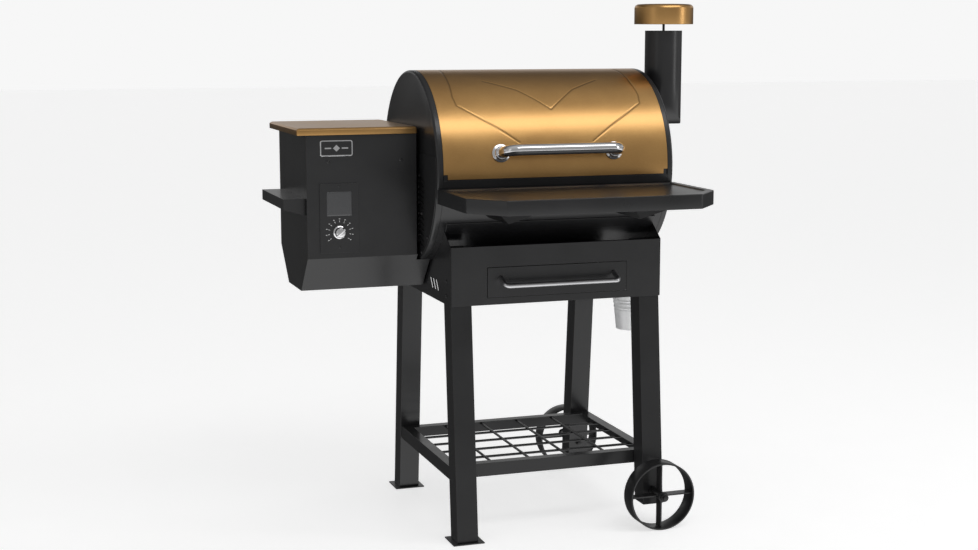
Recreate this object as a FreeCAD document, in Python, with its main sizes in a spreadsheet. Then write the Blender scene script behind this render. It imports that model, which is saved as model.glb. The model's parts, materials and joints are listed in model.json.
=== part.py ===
import FreeCAD, Part
import math
import os
import Sketcher

# Pellet smoker grill.  Millimetres, +Z up, front towards -Y, hopper on the -X side.
# The origin is on the ground, in the middle of the four legs.

DIMENSIONS = {
    # sheet metal and general gaps
    "sheet": 1.5,
    "body_gap": 0.6,
    "bore_gap": 0.06,
    # cooking barrel: a drum lying along X
    "barrel_radius": 224.0,
    "barrel_height": 840.0,
    "barrel_half_length": 287.0,
    "shell_half_length": 272.0,
    "shell_wall": 2.0,
    "cap_rounding": 6.0,
    "lid_front_angle": -3.3,
    "lid_sweep": 131.3,
    "lip_overlap": 5.5,
    "notch_width": 10.0,
    "notch_height": 11.0,
    # lid handle
    "handle_half_span": 137.0,
    "handle_standoff": 58.0,
    "handle_tube": 12.7,
    "handle_bend": 26.0,
    "handle_angle": 11.0,
    # legs
    "leg_half_width": 256.0,
    "leg_tube": 50.0,
    "leg_wall": 1.6,
    "leg_front_foot": 267.0,
    "leg_rise": 670.0,
    "leg_lean": 58.5,
    "axle_leg_cut": 48.0,
    # panels between the legs
    "apron_bottom": 541.0,
    "apron_top": 675.0,
    "apron_face": 226.0,
    "apron_return": 14.0,
    "ear_top": 712.0,
    "ear_back": 172.0,
    # drawer
    "drawer_half_width": 170.0,
    "drawer_bottom": 558.0,
    "drawer_top": 626.0,
    "drawer_depth": 270.0,
    "drawer_wall_top": 600.0,
    "pull_half_span": 138.0,
    "pull_radius": 5.6,
    "pull_standoff": 34.0,
    "pull_drop": 14.0,
    "pull_height": 602.0,
    # bottom shelf
    "rack_top": 166.0,
    "rack_rail": 31.0,
    "rack_flange": 25.0,
    "rack_front": 201.0,
    "rack_rear": 202.0,
    "rack_half_width": 254.0,
    "rack_wire": 3.0,
    # wheels
    "wheel_radius": 80.0,
    "wheel_band": 45.0,
    "wheel_rim": 4.0,
    "wheel_hub": 10.0,
    "wheel_inner_face": 273.0,
    "axle_radius": 6.0,
    "axle_x": 231.0,
    # front shelf
    "shelf_half_width": 288.0,
    "shelf_front": 507.0,
    "shelf_back": 226.0,
    "shelf_bottom": 775.0,
    "shelf_top": 807.0,
    "shelf_corner_x": 65.0,
    "shelf_corner_y": 76.0,
    "shelf_lip": 20.0,
    # hopper
    "hopper_left": 553.0,
    "hopper_right": 297.0,
    "hopper_front": 95.0,
    "hopper_rear": 201.0,
    "hopper_top": 923.0,
    "hopper_bend": 646.0,
    "hopper_bottom": 562.0,
    "hopper_floor_front": -20.0,
    "hopper_floor_rear": 118.0,
    "hopper_chin_right": 262.0,
    "hopper_lid_height": 16.0,
    "hopper_lid_overhang": 22.0,
    "hopper_lid_lap": 8.0,
    # controller
    "panel_x": -479.0,
    "panel_half_width": 45.0,
    "panel_bottom": 657.0,
    "panel_top": 815.0,
    "display_half_width": 29.0,
    "display_bottom": 741.0,
    "display_top": 796.0,
    "knob_height": 704.0,
    "knob_radius": 13.5,
    "knob_depth": 17.0,
    # side handle
    "grip_standoff": 50.0,
    "grip_front": 80.0,
    "grip_rear": 168.0,
    "grip_top": 781.0,
    "grip_drop": 24.0,
    "grip_gusset": 38.0,
    # chimney
    "chimney_x": 361.0,
    "chimney_radius": 45.0,
    "chimney_elbow_height": 973.0,
    "chimney_top": 1155.0,
    "cap_radius": 71.5,
    "cap_bottom": 1170.0,
    "cap_top": 1219.0,
    "stem_radius": 3.0,
    # grease bucket
    "bucket_x": 292.0,
    "bucket_y": 0.0,
    "bucket_bottom": 422.0,
    "bucket_top": 526.0,
    "bucket_foot_radius": 44.0,
    "bucket_mouth_radius": 54.0,
    # feed and fire
    "auger_y": 30.0,
    "auger_height": 668.0,
    "auger_tube_radius": 25.0,
    "firepot_x": -40.0,
    "firepot_radius": 48.0,
    "grate_height": 812.0,
    "grate_half_length": 262.0,
    "grate_half_depth": 208.0,
}

doc = FreeCAD.newDocument("pellet_smoker_grill")
sheet = doc.addObject("Spreadsheet::Sheet", "dims")
for row, (alias, number) in enumerate(DIMENSIONS.items(), start=1):
    sheet.set(f"A{row}", alias)
    sheet.set(f"B{row}", str(number))
    sheet.setAlias(f"B{row}", alias)
doc.recompute()


class Size:
    """A length that carries both its number and the sheet expression it comes from."""

    def __init__(self, value, text):
        self.value = float(value)
        self.text = text

    def __add__(self, other):
        other = as_size(other)
        return Size(self.value + other.value, f"({self.text} + {other.text})")

    def __sub__(self, other):
        other = as_size(other)
        return Size(self.value - other.value, f"({self.text} - {other.text})")

    def __mul__(self, other):
        other = as_size(other)
        return Size(self.value * other.value, f"({self.text} * {other.text})")

    def __truediv__(self, other):
        other = as_size(other)
        return Size(self.value / other.value, f"({self.text} / {other.text})")

    def __neg__(self):
        return Size(-self.value, f"(-1 * {self.text})")

    def __radd__(self, other):
        return as_size(other) + self

    def __rsub__(self, other):
        return as_size(other) - self

    def __rmul__(self, other):
        return as_size(other) * self


def as_size(number):
    """Turn a plain number into a Size and leave a Size alone."""
    if isinstance(number, Size):
        return number
    return Size(number, f"({float(number)})")


class Named:
    """Holds one Size per cell of the sheet, read as d.barrel_radius and so on."""


d = Named()
for alias, number in DIMENSIONS.items():
    setattr(d, alias, Size(number, "dims." + alias))

X_AXIS = FreeCAD.Vector(1, 0, 0)
Y_AXIS = FreeCAD.Vector(0, 1, 0)
Z_AXIS = FreeCAD.Vector(0, 0, 1)
# turning +Z onto the named axis
UPRIGHT = {
    "x": FreeCAD.Rotation(Y_AXIS, 90),
    "y": FreeCAD.Rotation(X_AXIS, -90),
    "z": FreeCAD.Rotation(),
}
PLANES = {"xy": "XY_Plane", "xz": "XZ_Plane", "yz": "YZ_Plane"}
nodes = {}


def bind(thing, prop, amount):
    """Bind one property of an object to its sheet expression."""
    thing.setExpression(prop, as_size(amount).text)


def place(thing, x, y, z, rotation=None):
    """Put an object at a point, its coordinates bound to the sheet, and turn it."""
    x, y, z = as_size(x), as_size(y), as_size(z)
    base = FreeCAD.Vector(x.value, y.value, z.value)
    thing.Placement = FreeCAD.Placement(base, rotation or FreeCAD.Rotation())
    for letter, amount in zip("xyz", (x, y, z)):
        bind(thing, f".Placement.Base.{letter}", amount)
    return thing


def node(label, thing):
    """Register a finished piece under its node name."""
    thing.Label = label
    nodes[label] = thing
    return thing


def box(name, x0, x1, y0, y1, z0, z1):
    """A block between two opposite corners."""
    block = doc.addObject("Part::Box", name)
    bind(block, "Length", as_size(x1) - x0)
    bind(block, "Width", as_size(y1) - y0)
    bind(block, "Height", as_size(z1) - z0)
    return place(block, x0, y0, z0)


def turned_box(name, lengths, corner, turn):
    """A block with one corner at a point, turned about that corner."""
    block = doc.addObject("Part::Box", name)
    for prop, amount in zip(("Length", "Width", "Height"), lengths):
        bind(block, prop, amount)
    return place(block, *corner, turn)


def rod(name, axis, radius, length, start):
    """A cylinder that starts at a point and runs along +X, +Y or +Z."""
    pin = doc.addObject("Part::Cylinder", name)
    bind(pin, "Radius", radius)
    bind(pin, "Height", length)
    return place(pin, *start, UPRIGHT[axis])


def cone(name, foot_radius, top_radius, length, start):
    """A round taper standing on a point."""
    taper = doc.addObject("Part::Cone", name)
    bind(taper, "Radius1", foot_radius)
    bind(taper, "Radius2", top_radius)
    bind(taper, "Height", length)
    return place(taper, *start)


def fuse(name, *parts):
    """One solid from several that overlap."""
    joined = doc.addObject("Part::MultiFuse", name)
    joined.Shapes = list(parts)
    return joined


def group(name, *parts):
    """Separate solids that share one node."""
    together = doc.addObject("Part::Compound", name)
    together.Links = list(parts)
    return together


def cut(name, base, *tools):
    """Take the tools away from the base."""
    tool = tools[0] if len(tools) == 1 else group(name + "_tools", *tools)
    result = doc.addObject("Part::Cut", name)
    result.Base = base
    result.Tool = tool
    return result


def common(name, first, second):
    """The overlap of two solids."""
    result = doc.addObject("Part::Common", name)
    result.Base = first
    result.Tool = second
    return result


def new_sketch(body, name, plane):
    """A sketch lying on one of the body's own origin planes."""
    sketch = body.newObject("Sketcher::SketchObject", name)
    support = [f for f in body.Origin.OriginFeatures if f.Role == PLANES[plane]][0]
    sketch.AttachmentSupport = [(support, "")]
    sketch.MapMode = "FlatFace"
    return sketch


def draw_polygon(sketch, points):
    """A closed outline whose corners are tied to the sheet, one distance each way."""
    corners = [(as_size(u), as_size(v)) for u, v in points]
    first = sketch.GeometryCount
    for here, there in zip(corners, corners[1:] + corners[:1]):
        start = FreeCAD.Vector(here[0].value, here[1].value, 0)
        end = FreeCAD.Vector(there[0].value, there[1].value, 0)
        sketch.addGeometry(Part.LineSegment(start, end), False)
    count = len(corners)
    for index in range(count):
        after = first + (index + 1) % count
        sketch.addConstraint(Sketcher.Constraint("Coincident", first + index, 2, after, 1))
    for index, corner in enumerate(corners):
        for kind, amount in zip(("DistanceX", "DistanceY"), corner):
            rule = Sketcher.Constraint(kind, -1, 1, first + index, 1, amount.value)
            number = sketch.addConstraint(rule)
            sketch.setExpression(f"Constraints[{number}]", amount.text)


def draw_circle(sketch, u, v, radius):
    """A circle with its centre and radius tied to the sheet."""
    u, v, radius = as_size(u), as_size(v), as_size(radius)
    centre = FreeCAD.Vector(u.value, v.value, 0)
    circle = sketch.addGeometry(Part.Circle(centre, FreeCAD.Vector(0, 0, 1), radius.value), False)
    for kind, amount in (("DistanceX", u), ("DistanceY", v)):
        number = sketch.addConstraint(Sketcher.Constraint(kind, -1, 1, circle, 3, amount.value))
        sketch.setExpression(f"Constraints[{number}]", amount.text)
    number = sketch.addConstraint(Sketcher.Constraint("Radius", circle, radius.value))
    sketch.setExpression(f"Constraints[{number}]", radius.text)


def prism(name, plane, points, start, end):
    """A padded outline.  It fills the space from start to end along the plane's normal axis."""
    body = doc.addObject("PartDesign::Body", name)
    sketch = new_sketch(body, name + "_outline", plane)
    draw_polygon(sketch, points)
    pad = body.newObject("PartDesign::Pad", name + "_pad")
    pad.Profile = sketch
    bind(pad, "Length", as_size(end) - start)
    body.Tip = pad
    if plane == "xy":
        place(body, 0, 0, start)
    elif plane == "xz":
        place(body, 0, end, 0)
    else:
        place(body, start, 0, 0)
    return body


def turned(name, points, position, axis="z"):
    """A lathe shape: radius and height points spun about an axis through a position."""
    body = doc.addObject("PartDesign::Body", name)
    sketch = new_sketch(body, name + "_profile", "xz")
    draw_polygon(sketch, points)
    spin = body.newObject("PartDesign::Revolution", name + "_spin")
    spin.Profile = sketch
    spin.ReferenceAxis = (sketch, ["V_Axis"])
    spin.Angle = 360
    body.Tip = spin
    return place(body, *position, UPRIGHT[axis])


def drum_sector(name, outer, inner, start_angle, sweep, half_length):
    """A curved sheet about the barrel's axis.  Angles start at the front and rise over the top."""
    start = math.radians(as_size(start_angle).value)
    outward = FreeCAD.Vector(0, -math.cos(start), math.sin(start))
    onward = FreeCAD.Vector(0, math.sin(start), math.cos(start))
    turn = FreeCAD.Rotation(outward, onward, -X_AXIS, "XYZ")
    rings = []
    for suffix, radius, extra, angle in (("_out", outer, 0.0, sweep), ("_in", inner, 1.0, 360)):
        ring = doc.addObject("Part::Cylinder", name + suffix)
        bind(ring, "Radius", radius)
        bind(ring, "Height", (half_length + extra) * 2)
        bind(ring, "Angle", angle)
        place(ring, half_length + extra, 0, d.barrel_height, turn)
        rings.append(ring)
    return cut(name, *rings)


SIDES = (("left", -1), ("right", 1))
ENDS = (("front", -1), ("rear", 1))


# ---------------------------------------------------------------- legs
def leg(side, sign, end, lean):
    """A square tube that leans inwards towards the top, cut level at the foot."""
    name = f"leg_{end}_{side}"
    foot = d.leg_front_foot
    low = 3.0 if side == "left" else d.axle_leg_cut
    share = as_size(low) / d.leg_rise

    def outline(inset, bottom):
        outer_low = foot - d.leg_lean * share - inset
        outer_high = foot - d.leg_lean - inset
        inner_low = foot - d.leg_lean * share - d.leg_tube + inset
        inner_high = foot - d.leg_lean - d.leg_tube + inset
        return [
            (lean * outer_low, bottom),
            (lean * inner_low, bottom),
            (lean * inner_high, d.leg_rise),
            (lean * outer_high, d.leg_rise),
        ]

    outer_x = d.leg_half_width * sign
    inner_x = (d.leg_half_width - d.leg_tube) * sign
    low_x, high_x = (outer_x, inner_x) if sign < 0 else (inner_x, outer_x)
    tube = prism(name + "_tube", "yz", outline(0, low), low_x, high_x)
    core = prism(name + "_core", "yz", outline(d.leg_wall, low), low_x + d.leg_wall, high_x - d.leg_wall)
    tools = [core]
    if side == "right":
        bore = rod(name + "_bore", "y", d.axle_radius + 0.3, 700, (d.axle_x, -350, d.wheel_radius))
        tools.append(bore)
    node(name, cut(name, tube, *tools))


for side, sign in SIDES:
    for end, lean in ENDS:
        leg(side, sign, end, lean)

feet = []
for end, lean in ENDS:
    middle = (d.leg_front_foot - d.leg_tube / 2) * lean
    left = -d.leg_half_width
    feet.append(box(f"foot_{end}", left - 12, left + d.leg_tube + 12, middle - 35, middle + 35, 0, 3.0))
node("foot_plates", group("foot_plates", *feet))


# ---------------------------------------------------------------- front apron, side panels, rear bar
face = -d.apron_face
front_sheet = box(
    "apron_sheet", -d.leg_half_width, d.leg_half_width, face, face + d.sheet, d.apron_bottom, d.apron_top
)
returns = [
    box("apron_top_return", -d.leg_half_width, d.leg_half_width, face, face + d.apron_return,
        d.apron_top - d.sheet, d.apron_top),
    box("apron_bottom_return", -d.leg_half_width + d.leg_tube + 1, d.leg_half_width - d.leg_tube - 1, face,
        face + d.apron_return, d.apron_bottom, d.apron_bottom + d.sheet),
]
drawer_mouth = box(
    "drawer_mouth", -d.drawer_half_width - 0.8, d.drawer_half_width + 0.8, face - 5, face + 5,
    d.drawer_bottom - 0.8, d.drawer_top + 0.8
)
drawer_sill = box(
    "drawer_sill", -d.drawer_half_width, d.drawer_half_width, face + 0.8, face + 24,
    d.drawer_bottom - 2, d.drawer_bottom - 0.8
)
apron_open = cut("apron_open", fuse("apron_folded", front_sheet, *returns), drawer_mouth)
node("apron_front", fuse("apron_front", apron_open, drawer_sill))


def side_panel(side, sign):
    """A plate that joins two legs, cut to a saddle under the barrel, with three slanted slots."""
    name = f"side_panel_{side}"
    half = d.apron_face - d.sheet - 0.5
    outline = [
        (-half, d.apron_bottom),
        (half, d.apron_bottom),
        (half, d.apron_top),
        (d.ear_back, d.ear_top),
        (-d.ear_back, d.ear_top),
        (-half, d.apron_top),
    ]
    outer = (d.leg_half_width + d.sheet) * sign
    inner = d.leg_half_width * sign
    low, high = (outer, inner) if sign < 0 else (inner, outer)
    plate = prism(name + "_plate", "yz", outline, low, high)
    tools = [rod(name + "_saddle", "x", d.barrel_radius, 20, (low - 9, 0, d.barrel_height))]
    slot_turn = FreeCAD.Rotation(X_AXIS, -36)
    for index in range(3):
        corner = (low - 9, -133 + 22 * index, 566)
        tools.append(turned_box(f"{name}_slot{index}", (20, 6, 29), corner, slot_turn))
    node(name, cut(name, plate, *tools))


for side, sign in SIDES:
    side_panel(side, sign)

inner_x = d.leg_half_width - d.leg_tube
bar_y_front = d.leg_front_foot - d.leg_lean - d.leg_tube + 12
crossbar = cut(
    "crossbar",
    box("crossbar_tube", -inner_x, inner_x, bar_y_front, bar_y_front + 25, 596, 636),
    box("crossbar_core", -inner_x - 1, inner_x + 1, bar_y_front + d.leg_wall,
        bar_y_front + 25 - d.leg_wall, 596 + d.leg_wall, 636 - d.leg_wall),
)
# a strip bent to the barrel's curve carries its front between the side panels
saddle = drum_sector("saddle_strip", d.barrel_radius + 2.4, d.barrel_radius + 0.4, -38.0, 7.5, d.leg_half_width)
node("stand_crossbars", group("stand_crossbars", crossbar, saddle))


# ---------------------------------------------------------------- bottom shelf
def angle_rail(name, span, side):
    """An L section along X or Y: an upright outer flange and a flat top flange turned inwards."""
    x0, x1, y0, y1 = span
    thick = 2.0
    upright = {
        "front": (x0, x1, y0, y0 + thick),
        "rear": (x0, x1, y1 - thick, y1),
        "left": (x0, x0 + thick, y0, y1),
        "right": (x1 - thick, x1, y0, y1),
    }[side]
    low = d.rack_top - d.rack_rail
    web = box(name + "_web", *upright, low, d.rack_top)
    top = box(name + "_top", x0, x1, y0, y1, d.rack_top - thick, d.rack_top)
    return fuse(name, web, top)


wide, front, rear, flange = d.rack_half_width, -d.rack_front, d.rack_rear, d.rack_flange
long_x = (-wide + flange, wide - flange)
node("shelf_frame", fuse(
    "shelf_frame",
    angle_rail("rail_front", (-wide, wide, front, front + flange), "front"),
    angle_rail("rail_rear", (-wide, wide, rear - flange, rear), "rear"),
    angle_rail("rail_left", (-wide, -wide + flange, front, rear), "left"),
    angle_rail("rail_right", (wide - flange, wide, front, rear), "right"),
))

wires = []
wire_height = d.rack_top - 2.0 - d.rack_wire - 0.2
for index in range(4):
    x = -143.0 + 95.3 * index
    wires.append(rod(f"grid_y{index}", "y", d.rack_wire, rear - front - 8, (x, front + 4, wire_height)))
for index in range(4):
    y = -113.0 + 72.0 * index
    wires.append(rod(f"grid_x{index}", "x", d.rack_wire, wide * 2 - 8, (-wide + 4, y, wire_height - 4)))
node("shelf_grid", fuse("shelf_grid", *wires))


# ---------------------------------------------------------------- wheels and axle
axle_half = d.wheel_inner_face + d.wheel_band + 16
stubs = []
for end, sign in ENDS:
    low = 198 if sign > 0 else -axle_half
    stubs.append(rod(f"axle_{end}", "y", d.axle_radius, axle_half - 198, (d.axle_x, low, d.wheel_radius)))
node("axle_stubs", group("axle_stubs", *stubs))


def wheel(end, sign):
    """A steel band with four flat spokes and a hub, turning about the axle."""
    name = f"wheel_{end}"
    body = doc.addObject("PartDesign::Body", name)
    rim_sketch = new_sketch(body, name + "_rim_outline", "xz")
    draw_circle(rim_sketch, 0, 0, d.wheel_radius)
    draw_circle(rim_sketch, 0, 0, d.wheel_radius - d.wheel_rim)
    rim = body.newObject("PartDesign::Pad", name + "_rim")
    rim.Profile = rim_sketch
    bind(rim, "Length", d.wheel_band)
    spoke_sketch = new_sketch(body, name + "_spoke_outline", "xz")
    draw_polygon(spoke_sketch, [
        (d.wheel_hub - 3, -2.0),
        (d.wheel_radius - d.wheel_rim / 2, -2.0),
        (d.wheel_radius - d.wheel_rim / 2, 2.0),
        (d.wheel_hub - 3, 2.0),
    ])
    spoke = body.newObject("PartDesign::Pad", name + "_spoke")
    spoke.Profile = spoke_sketch
    bind(spoke, "Length", d.wheel_band)
    spokes = body.newObject("PartDesign::PolarPattern", name + "_spokes")
    spokes.Originals = [spoke]
    spokes.Axis = (spoke_sketch, ["N_Axis"])
    spokes.Angle = 360
    spokes.Occurrences = 4
    body.Tip = spokes
    hub_sketch = new_sketch(body, name + "_hub_outline", "xz")
    draw_circle(hub_sketch, 0, 0, d.wheel_hub)
    hub = body.newObject("PartDesign::Pad", name + "_hub")
    hub.Profile = hub_sketch
    bind(hub, "Length", d.wheel_band)
    bore_sketch = new_sketch(body, name + "_bore_outline", "xz")
    draw_circle(bore_sketch, 0, 0, d.axle_radius + d.bore_gap)
    bore = body.newObject("PartDesign::Pocket", name + "_bore")
    bore.Profile = bore_sketch
    bore.Type = "ThroughAll"
    bore.Midplane = True
    body.Tip = bore
    near = d.wheel_inner_face if sign > 0 else -(d.wheel_inner_face + d.wheel_band)
    place(body, d.axle_x, near + d.wheel_band, d.wheel_radius)
    return node(name, body)


for end, sign in ENDS:
    wheel(end, sign)

nuts = []
for end, sign in ENDS:
    outer = d.wheel_inner_face + d.wheel_band + 0.5
    inner = d.wheel_inner_face - 0.5
    washer_y = outer if sign > 0 else -(outer + 2)
    nut_y = outer + 2 if sign > 0 else -(outer + 10)
    spacer_y = inner - 10.8 if sign > 0 else -inner
    stack = fuse(
        f"nut_stack_{end}",
        rod(f"washer_{end}", "y", 12, 2, (d.axle_x, washer_y, d.wheel_radius)),
        rod(f"nut_{end}", "y", 9, 8, (d.axle_x, nut_y, d.wheel_radius)),
    )
    hole = rod(f"nut_hole_{end}", "y", d.axle_radius, 700, (d.axle_x, -350, d.wheel_radius))
    nuts.append(cut(f"nut_ring_{end}", stack, hole))
    spacer = rod(f"spacer_{end}", "y", 11, 10.8, (d.axle_x, spacer_y, d.wheel_radius))
    hole = rod(f"spacer_hole_{end}", "y", d.axle_radius, 700, (d.axle_x, -350, d.wheel_radius))
    nuts.append(cut(f"spacer_ring_{end}", spacer, hole))
node("axle_nuts", group("axle_nuts", *nuts))


# ---------------------------------------------------------------- barrel
radius, axis_height = d.barrel_radius, d.barrel_height
lid_end_angle = d.lid_front_angle + d.lid_sweep
shell_start = lid_end_angle + 0.5
shell_sweep = 360 - d.lid_sweep - 1.2
shell_half = d.shell_half_length
lower_shell = drum_sector(
    "lower_shell", radius, radius - d.shell_wall, shell_start, shell_sweep, shell_half
)
front_lip = drum_sector(
    "front_lip", radius - d.shell_wall + 0.2, radius - d.shell_wall - 1.3,
    d.lid_front_angle - 9, 9 + d.lip_overlap, shell_half - 1
)
node("barrel_shell", fuse("barrel_shell", lower_shell, front_lip))


def end_cap(side, sign):
    """A pressed end disc with a rim that the curved sheets close against."""
    name = f"barrel_end_{side}"
    deep = d.barrel_half_length - shell_half - d.body_gap
    body = doc.addObject("PartDesign::Body", name + "_pressing")
    sketch = new_sketch(body, name + "_profile", "xz")
    draw_polygon(sketch, [
        (0, 0), (radius, 0), (radius, -deep), (radius - d.shell_wall - 1, -deep),
        (radius - d.shell_wall - 1, -d.sheet), (0, -d.sheet),
    ])
    spin = body.newObject("PartDesign::Revolution", name + "_spin")
    spin.Profile = sketch
    spin.ReferenceAxis = (sketch, ["V_Axis"])
    spin.Angle = 360
    body.Tip = spin
    doc.recompute()
    edges = []
    for index, edge in enumerate(spin.Shape.Edges, start=1):
        centre = edge.BoundBox.Center
        is_rim = abs(edge.BoundBox.XMax - radius.value) < 0.01 and edge.BoundBox.ZLength < 0.01
        if is_rim and abs(centre.z) < 0.01:
            edges.append(f"Edge{index}")
    rounding = body.newObject("PartDesign::Fillet", name + "_rounding")
    rounding.Base = (spin, edges)
    bind(rounding, "Radius", d.cap_rounding)
    body.Tip = rounding
    turn = FreeCAD.Rotation(Y_AXIS, 90 * sign)
    place(body, d.barrel_half_length * sign, 0, axis_height, turn)
    start = -300 if sign < 0 else 260
    if sign < 0:
        hole = rod("auger_hole", "x", d.auger_tube_radius, 60, (start, d.auger_y, d.auger_height))
        tools = [hole]
    else:
        flue = rod("flue_hole", "x", d.chimney_radius - 2, 60, (start, 0, d.chimney_elbow_height))
        drain = rod("drain_hole", "x", 11, 60, (start, 22, 652))
        tools = [flue, drain]
    return node(name, cut(name, body, *tools))


for side, sign in SIDES:
    end_cap(side, sign)

# heat shield with two banks of slanted louvres, on the hopper side of the barrel
shield_x = -d.barrel_half_length - d.sheet
shield_disc = rod("shield_disc", "x", radius - 3, d.sheet, (shield_x, 0, axis_height))
shield_block = box("shield_block", shield_x - 5, shield_x + 5, -radius, radius, 640, 878)
louvres = []
louvre_turn = FreeCAD.Rotation(X_AXIS, 12)
for bank in range(2):
    for index in range(6):
        low = 664.0 + 12.6 * index + 87.0 * bank
        corner = (shield_x - 5, -123, low)
        louvres.append(turned_box(f"louvre_{bank}_{index}", (10, 44, 5.5), corner, louvre_turn))
shield_auger = rod("shield_auger", "x", d.auger_tube_radius + 0.5, 30,
                   (shield_x - 10, d.auger_y, d.auger_height))
node("heat_shield", cut(
    "heat_shield", common("shield_plate", shield_disc, shield_block), shield_auger, *louvres
))


# ---------------------------------------------------------------- lid
lid_skin = drum_sector(
    "lid_skin", radius, radius - d.sheet, d.lid_front_angle, d.lid_sweep, shell_half
)
notches = []
for side, sign in SIDES:
    start = shell_half - d.notch_width
    low, high = (start, shell_half + 1) if sign > 0 else (-(shell_half + 1), -start)
    notches.append(box(f"lid_notch_{side}", low, high, -radius - 2, -radius + 8, axis_height - 20,
                       axis_height - 2))
node("lid_shell", cut("lid_shell", lid_skin, *notches))

# the handle stands off the lid along the radius at handle_angle
tilt = d.handle_angle.value
handle_turn = FreeCAD.Rotation(X_AXIS, -tilt)
lean_cos, lean_sin = math.cos(math.radians(tilt)), math.sin(math.radians(tilt))


def along_handle(distance, rise=0.0):
    """The y and z of a point on the handle's radius, a distance out from the barrel's skin."""
    reach = radius + distance
    y = -(reach * lean_cos) + rise * lean_sin
    z = axis_height + reach * lean_sin + rise * lean_cos
    return y, z


tube, bend, span = d.handle_tube, d.handle_bend, d.handle_half_span
handle_parts = []
bar_y, bar_z = along_handle(d.handle_standoff)
bar = doc.addObject("Part::Cylinder", "handle_bar")
bind(bar, "Radius", tube)
bind(bar, "Height", (span - bend) * 2)
handle_parts.append(place(bar, -(span - bend), bar_y, bar_z, UPRIGHT["x"]))
post_y, post_z = along_handle(0.8)
outward = FreeCAD.Rotation(X_AXIS, 90 - tilt)
for side, sign in SIDES:
    post = doc.addObject("Part::Cylinder", f"handle_post_{side}")
    bind(post, "Radius", tube)
    bind(post, "Height", d.handle_standoff - bend - 0.8)
    handle_parts.append(place(post, span * sign, post_y, post_z, outward))
    elbow = doc.addObject("Part::Torus", f"handle_elbow_{side}")
    bind(elbow, "Radius1", bend)
    bind(elbow, "Radius2", tube)
    elbow.Angle3 = 90
    elbow_y, elbow_z = along_handle(d.handle_standoff - bend)
    side_way = FreeCAD.Vector(sign, 0, 0)
    out_way = FreeCAD.Vector(0, -lean_cos, lean_sin)
    first, second = (side_way, out_way) if sign > 0 else (out_way, side_way)
    turn = FreeCAD.Rotation(first, second, first.cross(second), "XYZ")
    handle_parts.append(place(elbow, (span - bend) * sign, elbow_y, elbow_z, turn))
node("lid_handle", fuse("lid_handle", *handle_parts))

rosettes = []
rose_y, rose_z = along_handle(0.3)
for side, sign in SIDES:
    plate = doc.addObject("Part::Cylinder", f"rosette_{side}")
    bind(plate, "Radius", tube + 9)
    bind(plate, "Height", 5)
    place(plate, span * sign, rose_y, rose_z, outward)
    seat_y, seat_z = along_handle(-2)
    bore = doc.addObject("Part::Cylinder", f"rosette_bore_{side}")
    bind(bore, "Radius", tube)
    bind(bore, "Height", 12)
    place(bore, span * sign, seat_y, seat_z, outward)
    rosettes.append(cut(f"rosette_ring_{side}", plate, bore))

# bolts that hold the handle from inside the lid
for side, sign in SIDES:
    head_y, head_z = along_handle(-d.sheet - 4.15)
    head = doc.addObject("Part::Cylinder", f"handle_bolt_{side}")
    bind(head, "Radius", 6)
    bind(head, "Height", 4)
    rosettes.append(place(head, span * sign, head_y, head_z, outward))
node("handle_fixings", group("handle_fixings", *rosettes))

# lid hinge: knuckles on a line just outside the skin, behind the lid's rear edge
hinge_angle = math.radians(lid_end_angle.value + 0.25)
hinge_reach = radius + 8
hinge_y = hinge_reach * -math.cos(hinge_angle)
hinge_z = axis_height + hinge_reach * math.sin(hinge_angle)
knuckle, pin_radius, split_x = 7.4, 3.0, 205.0
fixed_ring = drum_sector("hinge_fixed_ring", radius + 2, radius, lid_end_angle + 0.7, 9, shell_half)
moving_ring = drum_sector("hinge_moving_ring", radius + 2, radius, lid_end_angle - 9.2, 9, shell_half)
fixed_leaves, moving_leaves, pins = [], [], []
for side, sign in SIDES:
    fixed_span = (split_x - 28, split_x)
    moving_span = (split_x + 0.4, split_x + 28)
    for kind, ring, span_x, bore_radius, store in (
        ("fixed", fixed_ring, fixed_span, pin_radius, fixed_leaves),
        ("moving", moving_ring, moving_span, pin_radius + d.bore_gap, moving_leaves),
    ):
        low, high = span_x if sign > 0 else (-span_x[1], -span_x[0])
        key = f"hinge_{kind}_{side}"
        leaf = common(key + "_leaf", ring, box(key + "_slice", low, high, -10, 220, 900, 1100))
        barrel = rod(key + "_knuckle", "x", knuckle, high - low, (low, hinge_y, hinge_z))
        bore = rod(key + "_bore", "x", bore_radius, 80, (low - 20, hinge_y, hinge_z))
        store.append(cut(key, fuse(key + "_joined", leaf, barrel), bore))
    pin_start = split_x - 30 if sign > 0 else -(split_x + 30)
    pins.append(rod(f"hinge_pin_{side}", "x", pin_radius, 60, (pin_start, hinge_y, hinge_z)))
node("lid_hinge_leaves", group("lid_hinge_leaves", *moving_leaves))


# ---------------------------------------------------------------- inside the barrel
inner_end = d.barrel_half_length - d.sheet
ledges = []
for end, sign in ENDS:
    low, high = (-216, -198) if sign < 0 else (198, 216)
    ledges.append(box(f"grate_ledge_{end}", -inner_end, inner_end, low, high, d.grate_height - 5,
                      d.grate_height - 3))
node("grate_ledges", group("grate_ledges", *ledges))


def rack(name, half_length, y_low, y_high, height, bar, count, rails_to):
    """A grid of bars along Y welded to two or more rails along X."""
    parts = []
    for index, y in enumerate((y_low + 6, (y_low + y_high) / 2, y_high - 6)):
        parts.append(rod(f"{name}_rail{index}", "x", bar, rails_to * 2, (-rails_to, y, height)))
    gap = as_size(half_length * 2 - 16) / (count - 1)
    for index in range(count):
        x = -half_length + 8 + gap * index
        parts.append(rod(f"{name}_bar{index}", "y", bar, y_high - y_low, (x, y_low, height + bar * 1.35)))
    return node(name, fuse(name, *parts))


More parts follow.
